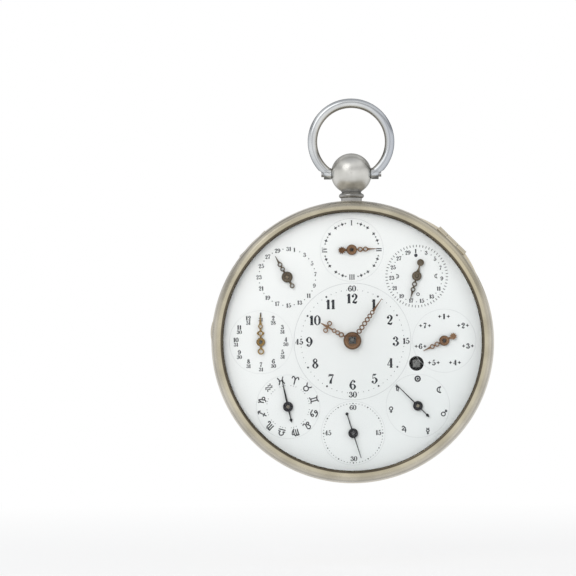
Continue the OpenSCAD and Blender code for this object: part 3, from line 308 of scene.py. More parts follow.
SILVER = metal("silver_warm", (0.49, 0.455, 0.385), (0.64, 0.60, 0.52), (0.2, 0.32), grain=700, rim=0.7)
BAND = metal("silver_band", (0.62, 0.585, 0.515), (0.71, 0.67, 0.595), (0.26, 0.38),
             grain=600, dents=0.08, rim=0.75)
# Painted shade: the neck is a darker copy of the silver
NECK = metal("silver_neck", (0.26, 0.255, 0.245), (0.46, 0.455, 0.44), (0.2, 0.34), grain=700)
BALL = metal("silver_ball", (0.58, 0.575, 0.54), (0.80, 0.79, 0.755), (0.27, 0.38),
             grain=260, dents=0.3, rim=0.4)
BOW = metal("silver_bow", (0.62, 0.63, 0.63), (0.80, 0.81, 0.80), (0.12, 0.22), grain=800, rim=0.35)
GILT = metal("gilt", (0.62, 0.42, 0.14), (0.80, 0.60, 0.26), (0.2, 0.32))
OLD_GILT = metal("gilt_ring", (0.42, 0.31, 0.12), (0.72, 0.58, 0.30), (0.22, 0.36))
REGULATOR_GILT = metal("gilt_regulator", (0.46, 0.28, 0.08), (0.66, 0.44, 0.17), (0.2, 0.32), grain=1500)
HAND_GILT = metal("gilt_hand", (0.27, 0.165, 0.05), (0.45, 0.30, 0.11), (0.2, 0.32), grain=1500)
BRASS = metal("brass", (0.60, 0.42, 0.17), (0.74, 0.56, 0.27), (0.22, 0.34))
STEEL = metal("steel", (0.34, 0.34, 0.35), (0.48, 0.48, 0.49), (0.18, 0.3))
DARK_STEEL = metal("dark_steel", (0.035, 0.035, 0.034), (0.085, 0.085, 0.083), (0.16, 0.3), grain=1500)
BLUED = metal("blued_steel", (0.012, 0.012, 0.014), (0.034, 0.033, 0.037), (0.25, 0.4))
COPPER = metal("copper_gilt", (0.14, 0.068, 0.032), (0.29, 0.165, 0.09), (0.26, 0.4),
               grain=1500, dents=0.15, rim=0.2)
GREY = metal("grey_hand", (0.085, 0.064, 0.042), (0.17, 0.135, 0.095), (0.3, 0.45),
             grain=1500, dents=0.15, rim=0.2)
GLASS = glass("watch_glass")

INK = paint("ink", (0.006, 0.007, 0.010), (0.02, 0.022, 0.03))
GREY_INK = paint("ink_grey", (0.02, 0.02, 0.024), (0.06, 0.06, 0.065))
FAINT_INK = paint("ink_faint", (0.46, 0.47, 0.47), (0.58, 0.59, 0.59))
CRIMSON = paint("crimson", (0.25, 0.004, 0.014), (0.34, 0.010, 0.030), rough=0.25)
WHITE = paint("white_enamel", (0.78, 0.76, 0.76), (0.84, 0.83, 0.83), rough=0.2)
PINK = paint("rose_pink", (0.48, 0.035, 0.085), (0.72, 0.16, 0.24))
PALE_PINK = paint("rose_pale", (0.74, 0.36, 0.42), (0.82, 0.48, 0.52))
LEAF = paint("leaf_green", (0.025, 0.075, 0.075), (0.07, 0.14, 0.13))
LEAF_BLUE = paint("leaf_blue", (0.04, 0.085, 0.14), (0.10, 0.17, 0.24))

# Painted shade: the bow darkens towards its right side, and in bands across its wire, most inside and
# outside the ring
tint(BOW, along(BOW.node_tree, (1, 0, 0)), (0.55, 0.57, 0.60), low=1, high=9.6)
BOW_RING = bands("silver_bow_ring", BOW, 0, BOW_Y, (
    (BOW_BORE, (0.28, 0.25, 0.21)), (7.7, (0.42, 0.39, 0.34)), (7.9, (0.85, 0.83, 0.78)),
    (8.15, (1, 1, 1)), (8.45, (0.97, 0.98, 1)), (8.62, (0.66, 0.67, 0.69)), (8.8, (0.97, 0.98, 1)),
    (9.25, (0.90, 0.92, 0.95)), (9.45, (0.70, 0.72, 0.75)), (9.6, (0.42, 0.43, 0.45))))
# Each bezel has painted shade beside the glass, is warm beyond it, and has fine lines of painted shade
# along its moulding
FRONT_BEZEL = bands("silver_front_bezel", gilded("silver_gilt_touch", SILVER), 0, 0, (
    (28.5, (0.20, 0.18, 0.15)), (28.68, (0.22, 0.20, 0.17)), (28.82, (0.98, 0.95, 0.82)),
    (29.4, (1, 0.98, 0.88)), (29.7, (0.9, 0.89, 0.84)), (30.1, (1, 1, 0.98)),
    (30.4, (0.86, 0.86, 0.85)), (30.65, (1, 1, 1))))
BACK_BEZEL = bands("silver_back_bezel", SILVER, 0, 0, (
    (28.4, (0.30, 0.26, 0.18)), (28.6, (0.42, 0.36, 0.25)), (28.8, (1, 0.93, 0.70)),
    (29.3, (1, 0.96, 0.80)), (29.5, (0.72, 0.69, 0.60)), (29.75, (0.98, 0.96, 0.88)),
    (30.2, (0.96, 0.95, 0.90)), (30.4, (0.74, 0.73, 0.70)), (30.65, (1, 1, 1))))
# Painted light: the front dial's enamel is whitest at its upper left edge and darker towards the lower
# right
COOL_ENAMEL = enamel("enamel_front", (0.81, 0.835, 0.825), (0.84, 0.86, 0.85))
tint(COOL_ENAMEL, along(COOL_ENAMEL.node_tree, (-0.5, 0, 0.87)), (0.95, 0.95, 0.93), low=-28, high=30)
# Painted shade: the front dial's enamel darkens from its rim towards the centre
FRONT_ENAMEL = bands("enamel_front_dial", COOL_ENAMEL, 0, 0,
                     shades((0, 0.91), (10, 0.92), (18, 0.95), (24, 0.99), (FRONT_R, 1)))
BACK_ENAMEL = enamel("enamel_back", (0.80, 0.80, 0.81), (0.83, 0.83, 0.84))
COPPER_MINUTE = bands("copper_minute", COPPER, 0, 0, shades(
    (0, 0.45), (0.85, 0.45), (1, 0.8), (1.15, 0.8), (1.22, 0.55), (1.34, 0.95), (1.58, 1), (1.68, 0.5),
    (1.95, 0.4), (2.1, 0.95)))

# Painted shade darkens the metal under the winding hole, and the square's end shows in it
HOLE_SHADE = (0.012, 0.012, 0.011)
WINDING_SQUARE = worn_centre("brass_fusee", BRASS, *WINDING, WINDING_SHADE_R, HOLE_SHADE)
tint(WINDING_SQUARE, along(WINDING_SQUARE.node_tree, (0, -1, 0)), (0.17, 0.17, 0.165), low=4.4, high=4.6)

NODE_MATERIALS = {
    "case_band": gilded("silver_band_gilt", BAND),
    "pendant_neck": NECK,
    "pendant_ball": BALL,
    "bow": BOW_RING,
    "front_bezel": FRONT_BEZEL,
    "back_bezel": BACK_BEZEL,
    "front_glass": GLASS,
    "back_glass": GLASS,
    "back_ring": OLD_GILT,
    "front_dial": FRONT_ENAMEL,
    "back_dial": BACK_ENAMEL,
    "minute_hand": COPPER_MINUTE,
    "hour_hand": COPPER,
    "season_hand": hub("copper_season", COPPER, *ARBORS["season"], 1.15),
    "moon_hand": hub("grey_moon", GREY, *ARBORS["moon"], 1.05),
    "weekday_hand": hub("copper_weekday", COPPER, *ARBORS["weekday"], 1.15),
    "planet_hand": BLUED,
    "seconds_hand": BLUED,
    "zodiac_hand": BLUED,
    "month_hand": hub("gilt_month", HAND_GILT, *ARBORS["month"], 1.0),
    "date_hand": hub("grey_date", GREY, *ARBORS["date"], 1.2),
    "regulator_hand": REGULATOR_GILT,
    "regulator_arbor": DARK_STEEL,
    "mainspring": BLUED,
    "balance_spring": BLUED,
    "cannon_pinion": DARK_STEEL,
    "centre_wheel": worn_centre("brass_centre", BRASS, 0, 0, ARBOR_END_R, (0.17, 0.17, 0.165)),
    "contrate_wheel": worn_centre("brass_contrate", BRASS, *ARBORS["seconds"], ARBOR_END_R,
                                  (0.12, 0.12, 0.125)),
    # Painted shade under the winding hole
    "pillar_plate": worn_centre("brass_pillar_plate", BRASS, *WINDING, WINDING_SHADE_R, HOLE_SHADE),
    "calendar_plate": worn_centre("brass_calendar_plate", BRASS, *WINDING, WINDING_SHADE_R, HOLE_SHADE),
    "fusee": WINDING_SQUARE,
}
# The star wheels' arbors end in the hubs of their hands
ARBOR_ENDS = {
    "season": (0.05, 0.04, 0.03),
    "moon": (0.13, 0.105, 0.07),
    "weekday": (0.05, 0.04, 0.035),
    "planet": (0.22, 0.20, 0.16),
    "zodiac": (0.20, 0.18, 0.15),
    "month": (0.10, 0.11, 0.12),
    "date": (0.20, 0.16, 0.11),
}
for name, colour in ARBOR_ENDS.items():
    NODE_MATERIALS[name + "_star"] = worn_centre("steel_" + name, STEEL, *ARBORS[name], ARBOR_END_R, colour)
SLOT_MATERIALS = {"steel": STEEL, "brass": BRASS, "gilt": GILT}

for entry in frame["record"]["subparts"]:
    node = frame["nodes"][entry["node"]]
    chosen = NODE_MATERIALS.get(entry["node"]) or SLOT_MATERIALS[entry["material_slot"]]
    if not node.material_slots:
        node.data.materials.append(chosen)
    for slot in node.material_slots:
        slot.material = chosen


# Painting on the dials

def in_frame(x, y, z):
    """A point of the watch, in the frame's metres."""
    return (x * MM, -z * MM, (y - HANG) * MM)


def on_front(x, y, lift):
    return in_frame(x, y, FRONT_Z + FRONT_RISE * (1 - (x * x + y * y) / FRONT_R ** 2) + lift)


def on_back(x, y, lift):
    return in_frame(x, y, -(BACK_Z + BACK_RISE * (1 - (x * x + y * y) / BACK_R ** 2) + lift))


def smooth_line(points, closed, steps=6):
    """Points of a Catmull-Rom curve; each point is x, y and width."""
    n = len(points)
    if n < 3:
        return list(points)

    def at(i):
        return points[i % n] if closed else points[max(0, min(n - 1, i))]

    out = []
    for i in range(n if closed else n - 1):
        a, b, c, d = at(i - 1), at(i), at(i + 1), at(i + 2)
        for k in range(steps):
            t = k / steps
            out.append(tuple(0.5 * (2 * b[j] + (c[j] - a[j]) * t
                                    + (2 * a[j] - 5 * b[j] + 4 * c[j] - d[j]) * t * t
                                    + (3 * b[j] - a[j] - 3 * c[j] + d[j]) * t ** 3)
                             for j in range(3)))
    if not closed:
        out.append(tuple(points[-1]))
    return out


# A ring of figures or signs: its radius on the dial, their height, and how bold they are
Figures = namedtuple("Figures", "radius size weight")


class Painting:
    """Flat figures laid on a dial's dome, kept in one mesh."""

    def __init__(self, name, surface, finish, lift=LIFT):
        self.name = name
        self.surface = surface
        self.finish = finish
        self.lift = lift
        # The back dial is read from the other side
        self.mirror = -1 if surface is on_back else 1
        self.verts = []
        self.faces = []

    def face(self, points):
        first = len(self.verts)
        self.verts += [self.surface(x, y, self.lift) for x, y in points]
        self.faces.append(tuple(range(first, first + len(points))))

    def line(self, points, closed=False, smooth=True):
        """A line through points of x, y and width."""
        path = smooth_line(points, closed) if smooth else list(points)
        if closed:
            path.append(path[0])
        sides = []
        for i, (x, y, w) in enumerate(path):
            if closed and i in (0, len(path) - 1):
                a, b = path[-2], path[1]
            else:
                a, b = path[max(0, i - 1)], path[min(len(path) - 1, i + 1)]
            dx, dy = b[0] - a[0], b[1] - a[1]
            length = math.hypot(dx, dy) or 1.0
            nx, ny = -dy / length * w / 2, dx / length * w / 2
            sides.append(((x + nx, y + ny), (x - nx, y - ny)))
        for (a, b), (c, d) in zip(sides, sides[1:]):
            self.face([a, b, d, c])

    def segment(self, start, end, start_width, end_width):
        """A straight line between two points."""
        self.line([(*start, start_width), (*end, end_width)], smooth=False)

    def disc(self, x, y, r, n=16):
        self.oval(x, y, r, r, 0.0, n)

    def oval(self, x, y, rx, ry, turn, n):
        """An oval of n sides, with its long radius rx turned anticlockwise by turn in radians."""
        c, s = math.cos(turn), math.sin(turn)
        points = [(rx * math.cos(2 * math.pi * k / n), ry * math.sin(2 * math.pi * k / n))
                  for k in range(n)]
        self.face([(x + px * c - py * s, y + px * s + py * c) for px, py in points])

    def circle(self, x, y, r, w, n=96, first=0.0, last=360.0):
        """A line of width w round x, y, from one clock angle to another; a full circle has n sides."""
        count = max(2, int(n * (last - first) / 360))
        points = [(*clock(r, first + (last - first) * k / count, (x, y)), w)
                  for k in range(count + 1)]
        self.line(points, smooth=False)

    def star(self, x, y, r, turn=0.0, tips=5, waist=0.45):
        self.face([clock(r if k % 2 == 0 else r * waist, turn + 180 / tips * k, (x, y))
                   for k in range(2 * tips)])

    def strokes(self, strokes, x, y, figures, turn=0.0):
        """A glyph's strokes about x, y; turn is clockwise as the dial is read."""
        a = math.radians(turn)
        size = figures.size
        for kind, points in strokes:
            placed = []
            for px, py, w in points:
                px, py = px * size, py * size
                rx = px * math.cos(a) + py * math.sin(a)
                ry = -px * math.sin(a) + py * math.cos(a)
                placed.append((x + self.mirror * rx, y + ry, w * size * figures.weight))
            if kind == "dot":
                for px, py, w in placed:
                    self.disc(px, py, w / 2)
            else:
                self.line(placed, closed=kind == "loop", smooth=kind != "bar")

    def label(self, text, x, y, figures, turn=0.0):
        """Figures in a row, centred on x, y."""
        gap = 0.1
        widths = [GLYPHS[ch][0] for ch in text]
        total = sum(widths) + gap * (len(text) - 1)
        cursor = -total / 2
        a = math.radians(turn)
        for ch, width in zip(text, widths):
            off = (cursor + width / 2) * figures.size
            gx = x + self.mirror * off * math.cos(a)
            gy = y - off * math.sin(a)
            centred = [(kind, [(px - width / 2, py - 0.5, w) for px, py, w in points])
                       for kind, points in GLYPHS[ch][1]]
            self.strokes(centred, gx, gy, figures, turn)
            cursor += width + gap

    def build(self):
        mesh = bpy.data.meshes.new(self.name)
        mesh.from_pydata(self.verts, [], self.faces)
        mesh.update()
        mesh.materials.append(self.finish)
        for polygon in mesh.polygons:
            outward = -1 if self.surface is on_front else 1
            if polygon.normal.y * outward < 0:
                polygon.flip()
        obj = bpy.data.objects.new(self.name, mesh)
        bpy.context.scene.collection.objects.link(obj)
        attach(obj, "case")


# Old-fashioned figures: width, then strokes of x, y and thickness, one unit high
GLYPHS = {
    "0": (0.62, [("loop", [(0.31, 1.0, 0.05), (0.10, 0.78, 0.12), (0.07, 0.5, 0.15),
                           (0.10, 0.22, 0.12), (0.31, 0.0, 0.05), (0.52, 0.22, 0.12),
                           (0.55, 0.5, 0.15), (0.52, 0.78, 0.12)])]),
    "1": (0.42, [("bar", [(0.23, 0.0, 0.17), (0.23, 1.0, 0.17)]),
                 ("line", [(0.03, 0.76, 0.05), (0.12, 0.86, 0.07), (0.2, 0.98, 0.05)]),
                 ("bar", [(0.04, 0.02, 0.045), (0.42, 0.02, 0.045)])]),
    "2": (0.60, [("dot", [(0.13, 0.74, 0.17)]),
                 ("line", [(0.08, 0.78, 0.05), (0.28, 0.99, 0.05), (0.50, 0.78, 0.14),
                           (0.44, 0.52, 0.12), (0.2, 0.24, 0.06), (0.07, 0.05, 0.05)]),
                 ("line", [(0.07, 0.06, 0.06), (0.22, 0.10, 0.13), (0.42, 0.04, 0.13),
                           (0.56, 0.22, 0.04)])]),
    "3": (0.60, [("dot", [(0.13, 0.80, 0.15), (0.11, 0.2, 0.17)]),
                 ("line", [(0.10, 0.84, 0.05), (0.28, 0.99, 0.05), (0.46, 0.78, 0.13),
                           (0.40, 0.60, 0.08), (0.24, 0.54, 0.04)]),
                 ("line", [(0.24, 0.54, 0.04), (0.45, 0.47, 0.08), (0.54, 0.27, 0.15),
                           (0.30, 0.0, 0.05), (0.07, 0.16, 0.05)])]),
    "4": (0.62, [("bar", [(0.42, 1.0, 0.04), (0.03, 0.28, 0.05)]),
                 ("bar", [(0.02, 0.28, 0.05), (0.60, 0.28, 0.05)]),
                 ("bar", [(0.42, 0.0, 0.15), (0.42, 1.0, 0.15)]),
                 ("bar", [(0.26, 0.02, 0.04), (0.58, 0.02, 0.04)])]),
    "5": (0.58, [("dot", [(0.11, 0.18, 0.16)]),
                 ("line", [(0.16, 0.96, 0.12), (0.34, 0.94, 0.12), (0.50, 1.02, 0.04)]),
                 ("bar", [(0.14, 0.97, 0.04), (0.12, 0.52, 0.04)]),
                 ("line", [(0.12, 0.52, 0.04), (0.32, 0.63, 0.06), (0.53, 0.36, 0.15),
                           (0.30, 0.0, 0.05), (0.07, 0.16, 0.05)])]),
    "6": (0.60, [("dot", [(0.47, 0.84, 0.15)]),
                 ("line", [(0.50, 0.86, 0.04), (0.34, 1.0, 0.05), (0.10, 0.66, 0.12),
                           (0.07, 0.34, 0.15), (0.30, 0.0, 0.05), (0.54, 0.29, 0.14),
                           (0.34, 0.58, 0.05), (0.12, 0.42, 0.04)])]),
    "7": (0.56, [("line", [(0.04, 0.76, 0.04), (0.10, 0.95, 0.10), (0.30, 0.93, 0.13),
                           (0.54, 0.99, 0.05)]),
                 ("line", [(0.54, 0.98, 0.04), (0.34, 0.55, 0.08), (0.24, 0.25, 0.15),
                           (0.23, 0.03, 0.17)])]),
    "8": (0.60, [("loop", [(0.30, 1.0, 0.05), (0.13, 0.80, 0.11), (0.30, 0.56, 0.11),
                           (0.47, 0.80, 0.09)]),
                 ("loop", [(0.30, 0.56, 0.07), (0.08, 0.26, 0.13), (0.30, 0.0, 0.05),
                           (0.53, 0.26, 0.15)])]),
    "9": (0.60, [("dot", [(0.13, 0.16, 0.15)]),
                 ("line", [(0.10, 0.14, 0.04), (0.26, 0.0, 0.05), (0.50, 0.34, 0.12),
                           (0.53, 0.66, 0.15), (0.30, 1.0, 0.05), (0.06, 0.71, 0.14),
                           (0.26, 0.42, 0.05), (0.48, 0.58, 0.04)])]),
    "I": (0.30, [("bar", [(0.15, 0.0, 0.14), (0.15, 1.0, 0.14)]),
                 ("bar", [(0.0, 0.02, 0.05), (0.30, 0.02, 0.05)]),
                 ("bar", [(0.0, 0.98, 0.05), (0.30, 0.98, 0.05)])]),
    "V": (0.62, [("bar", [(0.10, 1.0, 0.14), (0.32, 0.0, 0.10)]),
                 ("bar", [(0.54, 1.0, 0.05), (0.34, 0.0, 0.05)]),
                 ("bar", [(0.0, 0.98, 0.05), (0.24, 0.98, 0.05)]),
                 ("bar", [(0.42, 0.98, 0.05), (0.64, 0.98, 0.05)])]),
    "+": (0.60, [("bar", [(0.05, 0.5, 0.10), (0.55, 0.5, 0.10)]),
                 ("bar", [(0.30, 0.25, 0.10), (0.30, 0.75, 0.10)])]),
    "-": (0.60, [("bar", [(0.05, 0.5, 0.10), (0.55, 0.5, 0.10)])]),
}


# Usual width of a sign's strokes
STROKE = 0.09


def ring(cx, cy, r):
    return ("loop", [(cx + r * math.cos(math.pi / 4 * k), cy + r * math.sin(math.pi / 4 * k), STROKE)
                     for k in range(8)])


def bar(*points):
    return ("bar", [(x, y, STROKE) for x, y in points])


def curve(*points, w=STROKE):
    return ("line", [(x, y, w) for x, y in points])


# The seven old planets, centred, one unit high
PLANETS = {
    "sun": [ring(0, 0, 0.42), ("dot", [(0, 0, 0.2)])],
    "moon": [curve((0.2, 0.48), (-0.25, 0.3), (-0.38, 0), (-0.25, -0.3), (0.2, -0.48), w=0.1),
             curve((0.2, 0.48), (-0.02, 0.2), (-0.05, 0), (-0.02, -0.2), (0.2, -0.48), w=0.05)],
    "mars": [ring(-0.1, -0.14, 0.3), bar((0.1, 0.08), (0.4, 0.44)), bar((0.14, 0.44), (0.42, 0.46)),
             bar((0.42, 0.46), (0.4, 0.16))],
    "mercury": [ring(0, 0.08, 0.2),
                curve((-0.2, 0.5), (-0.1, 0.34), (0, 0.3), (0.1, 0.34), (0.2, 0.5)),
                bar((0, -0.12), (0, -0.5)), bar((-0.17, -0.32), (0.17, -0.32))],
    "jupiter": [curve((-0.34, 0.3), (-0.1, 0.48), (0.04, 0.24), (-0.34, -0.12)),
                bar((-0.36, -0.14), (0.36, -0.14)), bar((0.2, 0.3), (0.2, -0.5))],
    "venus": [ring(0, 0.2, 0.25), bar((0, -0.05), (0, -0.5)), bar((-0.2, -0.28), (0.2, -0.28))],
    "saturn": [bar((-0.1, 0.5), (-0.1, -0.4)), bar((-0.28, 0.3), (0.1, 0.3)),
               curve((-0.1, 0.02), (0.14, 0.16), (0.22, -0.08), (0.08, -0.3), (0.2, -0.48))],
}
# Each planet's clock angle on its sub-dial
PLANET_ANGLES = {"sun": 0, "moon": 54, "mars": 106, "mercury": 159, "jupiter": 211, "venus": 262,
                 "saturn": 311}

# The twelve signs of the zodiac, centred, one unit high
SIGNS = {
    "aries": [curve((-0.42, 0.2), (-0.36, 0.45), (-0.12, 0.4), (0, 0), (0, -0.5)),
              curve((0.42, 0.2), (0.36, 0.45), (0.12, 0.4), (0, 0), (0, -0.5))],
    "taurus": [ring(0, -0.16, 0.3),
               curve((-0.4, 0.5), (-0.2, 0.2), (0, 0.14), (0.2, 0.2), (0.4, 0.5))],
    "gemini": [bar((-0.16, -0.4), (-0.16, 0.4)), bar((0.16, -0.4), (0.16, 0.4)),
               curve((-0.4, 0.5), (0, 0.38), (0.4, 0.5)), curve((-0.4, -0.5), (0, -0.38), (0.4, -0.5))],
    "cancer": [ring(-0.26, 0.14, 0.14), ring(0.26, -0.14, 0.14),
               curve((-0.38, 0.22), (-0.1, 0.42), (0.4, 0.3)),
               curve((0.38, -0.22), (0.1, -0.42), (-0.4, -0.3))],
    "leo": [ring(-0.22, -0.16, 0.15), curve((-0.1, -0.08), (-0.24, 0.3), (0.02, 0.48), (0.22, 0.28),
                                            (0.08, -0.2), (0.18, -0.46), (0.4, -0.36))],
    "virgo": [curve((-0.46, 0.4), (-0.36, 0.3), (-0.36, -0.4)),
              curve((-0.36, 0.2), (-0.22, 0.42), (-0.1, 0.2)),
              bar((-0.1, 0.3), (-0.1, -0.4)), curve((-0.1, 0.2), (0.04, 0.42), (0.16, 0.2)),
              bar((0.16, 0.3), (0.16, -0.3)),
              curve((0.16, 0.16), (0.4, 0.16), (0.3, -0.2), (0.02, -0.5))],
    "libra": [bar((-0.44, -0.4), (0.44, -0.4)), bar((-0.44, -0.16), (-0.14, -0.16)),
              bar((0.14, -0.16), (0.44, -0.16)),
              curve((-0.14, -0.16), (-0.28, 0.1), (0, 0.34), (0.28, 0.1), (0.14, -0.16))],
    "scorpio": [curve((-0.48, 0.4), (-0.38, 0.3), (-0.38, -0.4)),
                curve((-0.38, 0.2), (-0.24, 0.42), (-0.12, 0.2)),
                bar((-0.12, 0.3), (-0.12, -0.4)), curve((-0.12, 0.2), (0.02, 0.42), (0.14, 0.2)),
                curve((0.14, 0.3), (0.14, -0.3), (0.26, -0.44), (0.46, -0.34)),
                bar((0.34, -0.2), (0.46, -0.34))],
    "sagittarius": [bar((-0.4, -0.44), (0.4, 0.44)), bar((0.06, 0.44), (0.42, 0.46)),
                    bar((0.42, 0.46), (0.4, 0.1)), bar((-0.34, 0.0), (0.02, -0.34))],
    "capricorn": [curve((-0.44, 0.42), (-0.32, 0.2), (-0.26, -0.3)),
                  curve((-0.26, 0.1), (-0.1, 0.42), (0.02, 0.1), (0.04, -0.4), (-0.16, -0.5)),
                  ring(0.2, -0.12, 0.17)],
    "aquarius": [bar((-0.46, 0.08), (-0.24, 0.3), (-0.06, 0.08), (0.12, 0.3), (0.28, 0.08), (0.46, 0.3)),
                 bar((-0.46, -0.24), (-0.24, -0.02), (-0.06, -0.24), (0.12, -0.02), (0.28, -0.24),
                     (0.46, -0.02))],
    "pisces": [curve((-0.38, 0.46), (-0.16, 0), (-0.38, -0.46)),
               curve((0.38, 0.46), (0.16, 0), (0.38, -0.46)), bar((-0.3, 0), (0.3, 0))],
}


# The front dial's painting

black_figures = Painting("dial_figures", on_front, INK)
grey_figures = Painting("dial_small_figures", on_front, GREY_INK)
dial_lines = Painting("dial_lines", on_front, FAINT_INK, LIFT * 0.6)

HOURS = Figures(radius=9.42, size=2.05, weight=1.6)
QUARTERS = Figures(radius=11.6, size=1.25, weight=1.7)
SECONDS = Figures(radius=5.5, size=1.05, weight=1.7)
DATES = Figures(radius=6.2, size=0.9, weight=1.7)
MOON_DAYS = Figures(radius=5.5, size=0.86, weight=1.9)
HALF_MOONS = Figures(radius=4.3, size=0.95, weight=1.8)
WEEKDAYS = Figures(radius=5.3, size=1.15, weight=1.9)
PLANET_SIGNS = Figures(radius=5.9, size=1.4, weight=1.8)
ZODIAC_SIGNS = Figures(radius=5.85, size=1.75, weight=1.6)
MONTHS = Figures(radius=5.45, size=0.95, weight=1.9)
MONTH_LENGTHS = Figures(radius=5.45, size=0.8, weight=1.8)
SEASONS = Figures(radius=5.95, size=1.1, weight=1.5)


def sub_dial_line(name, r=6.9, width=0.05):
    """The thin line round a sub-dial."""
    dial_lines.circle(*ARBORS[name], r, width)


def draw_hours():
    """Hour figures, minute dots and the figures of the quarter hours, in a thin circle."""
    minute_r = 11.25
    minute_dot, fifth_dot = 0.085, 0.22
    circle_r = 12.75
    for hour in range(1, 13):
        x, y = clock(HOURS.radius, 30 * hour)
        black_figures.label(str(hour), x, y - 0.05, HOURS)
    for minute in range(60):
        if minute % 15:
            black_figures.disc(*clock(minute_r, 6 * minute), minute_dot if minute % 5 else fifth_dot, 10)
    # How far each quarter's figures are off their place in the ring
    nudges = {"60": (0, -0.05), "15": (0.1, 0), "30": (0, 0), "45": (-0.05, 0)}
    for k, (text, (dx, dy)) in enumerate(nudges.items()):
        x, y = clock(QUARTERS.radius, 90 * k)
        grey_figures.label(text, x + dx, y + dy, QUARTERS)
    dial_lines.circle(0, 0, circle_r, 0.09, 144)


def draw_seconds():
    """Sixty dots, with figures inside them at the quarters."""
    centre = ARBORS["seconds"]
    dots_r = 6.45
    second_dot, fifth_dot = 0.095, 0.16
    # How far the figures are off their places in the ring
    nudges = {"60": (0, 0.1), "15": (0, 0.1), "30": (0.1, -0.05), "45": (0, 0.1)}
    for k, (text, (dx, dy)) in enumerate(nudges.items()):
        x, y = clock(SECONDS.radius, 90 * k, centre)
        grey_figures.label(text, x + dx, y + dy, SECONDS)
    for k in range(60):
        black_figures.disc(*clock(dots_r, 6 * k, centre), second_dot if k % 5 else fifth_dot, 8)
    sub_dial_line("seconds", 6.95)


def draw_date():
    """Odd days with dots between them."""
    centre = ARBORS["date"]
    first_angle = 15
    for day in range(1, 32):
        x, y = clock(DATES.radius, first_angle + (day - 1) * 360 / 31, centre)
        if day % 2:
            grey_figures.label(str(day), x, y, DATES)
        else:
            grey_figures.disc(x, y, 0.12, 8)


def draw_moon():
    """Odd days of the moon with dots between them, the four phases inside and ticks outside."""
    centre = ARBORS["moon"]
    x0, y0 = centre
    first_angle = -2
    dots_r = 5.6
    tick_inner, tick_outer = 6.35, 6.85
    ticks = round(2 * LUNATION)
    for day in range(1, 30, 2):
        x, y = clock(MOON_DAYS.radius, first_angle + 360 * (day - 1) / LUNATION, centre)
        grey_figures.label(str(day), x, y, MOON_DAYS)
        if day < 29:
            grey_figures.disc(*clock(dots_r, first_angle + 360 * day / LUNATION, centre), 0.11, 8)
    for k in range(ticks):
        c = 360 * k / ticks
        grey_figures.segment(clock(tick_inner, c, centre), clock(tick_outer, c, centre), 0.15, 0.15)
    # New moon above, full moon below and half moons at the sides
    black_figures.disc(x0 - 0.15, y0 + 4.55, 0.38)
    black_figures.circle(x0 + 0.25, y0 - 3.95, 0.3, 0.17, 24)
    for side, turn in ((-1, 180), (1, 0)):
        black_figures.strokes(PLANETS["moon"], x0 + side * HALF_MOONS.radius, y0, HALF_MOONS, turn)


def draw_weekday():
    """Numbers between small diamonds."""
    diamond_off = 0.95
    for k in range(7):
        x, y = clock(WEEKDAYS.radius, 360 * k / 7, ARBORS["weekday"])
        grey_figures.label(str(k + 1), x, y, WEEKDAYS)
        for side in (-1, 1):
            grey_figures.star(x + side * diamond_off, y, 0.4, tips=4)
    sub_dial_line("weekday")


def draw_planets():
    """The seven signs, the sun's with a heavier ring."""
    centre = ARBORS["planet"]
    for name, c in PLANET_ANGLES.items():
        black_figures.strokes(PLANETS[name], *clock(PLANET_SIGNS.radius, c, centre), PLANET_SIGNS)
    black_figures.circle(*clock(PLANET_SIGNS.radius, PLANET_ANGLES["sun"], centre), 0.52, 0.3, 30)
    sub_dial_line("planet")


def draw_zodiac():
    """Each sign with a row of small marks under it."""
    centre = ARBORS["zodiac"]
    marks_r = 4.65
    for k, strokes in enumerate(SIGNS.values()):
        c = 30 * k + 15
        grey_figures.strokes(strokes, *clock(ZODIAC_SIGNS.radius, c, centre), ZODIAC_SIGNS, c)
        for off in (-7, 0, 7):
            grey_figures.disc(*clock(marks_r, c + off, centre), 0.09, 8)
    sub_dial_line("zodiac", 6.95)


def draw_months():
    """Each month's number over the number of its days."""
    spread = 0.52
    for k, days in enumerate((31, 28, 31, 30, 31, 30, 31, 31, 30, 31, 30, 31)):
        x, y = clock(MONTHS.radius, 30 * k, ARBORS["month"])
        grey_figures.label(str(k + 1), x, y + spread, MONTHS)
        grey_figures.label(str(days), x, y - spread, MONTH_LENGTHS)
    sub_dial_line("month", width=0.04)


def draw_seasons():
    """Roman numbers between large and small diamonds."""
    centre = ARBORS["season"]
    for k, text in enumerate(("I", "II", "III", "IV")):
        c = 90 * k
        grey_figures.label(text, *clock(SEASONS.radius, c, centre), SEASONS, c)
        for off, r in ((13, 0.25), (20, 0.45), (28, 0.25), (36, 0.45)):
            for turn in (c - off, c + off):
                grey_figures.star(*clock(SEASONS.radius, turn, centre), r, turn, tips=4)
    sub_dial_line("season")


draw_hours()
draw_seconds()
draw_date()
draw_moon()
draw_weekday()
draw_planets()
draw_zodiac()
draw_months()
draw_seasons()
for painting in (black_figures, grey_figures, dial_lines):
    painting.build()


# The back dial's painting

band = Painting("back_band", on_back, CRIMSON, LIFT * 0.8)
band_stars = Painting("back_band_stars", on_back, WHITE, LIFT * 1.8)
back_figures = Painting("back_figures", on_back, GREY_INK)
back_lines = Painting("back_lines", on_back, FAINT_INK, LIFT * 0.6)
leaves = Painting("sprig_leaves", on_back, LEAF, LIFT * 1.2)
blue_leaves = Painting("sprig_leaves_blue", on_back, LEAF_BLUE, LIFT * 1.3)
roses = Painting("sprig_roses", on_back, PINK, LIFT * 1.6)
petals = Painting("sprig_petals", on_back, PALE_PINK, LIFT * 2.2)
hearts = Painting("sprig_hearts", on_back, CRIMSON, LIFT * 2.4)

REGULATOR_SIGNS = Figures(radius=7.9, size=1.5, weight=1.0)


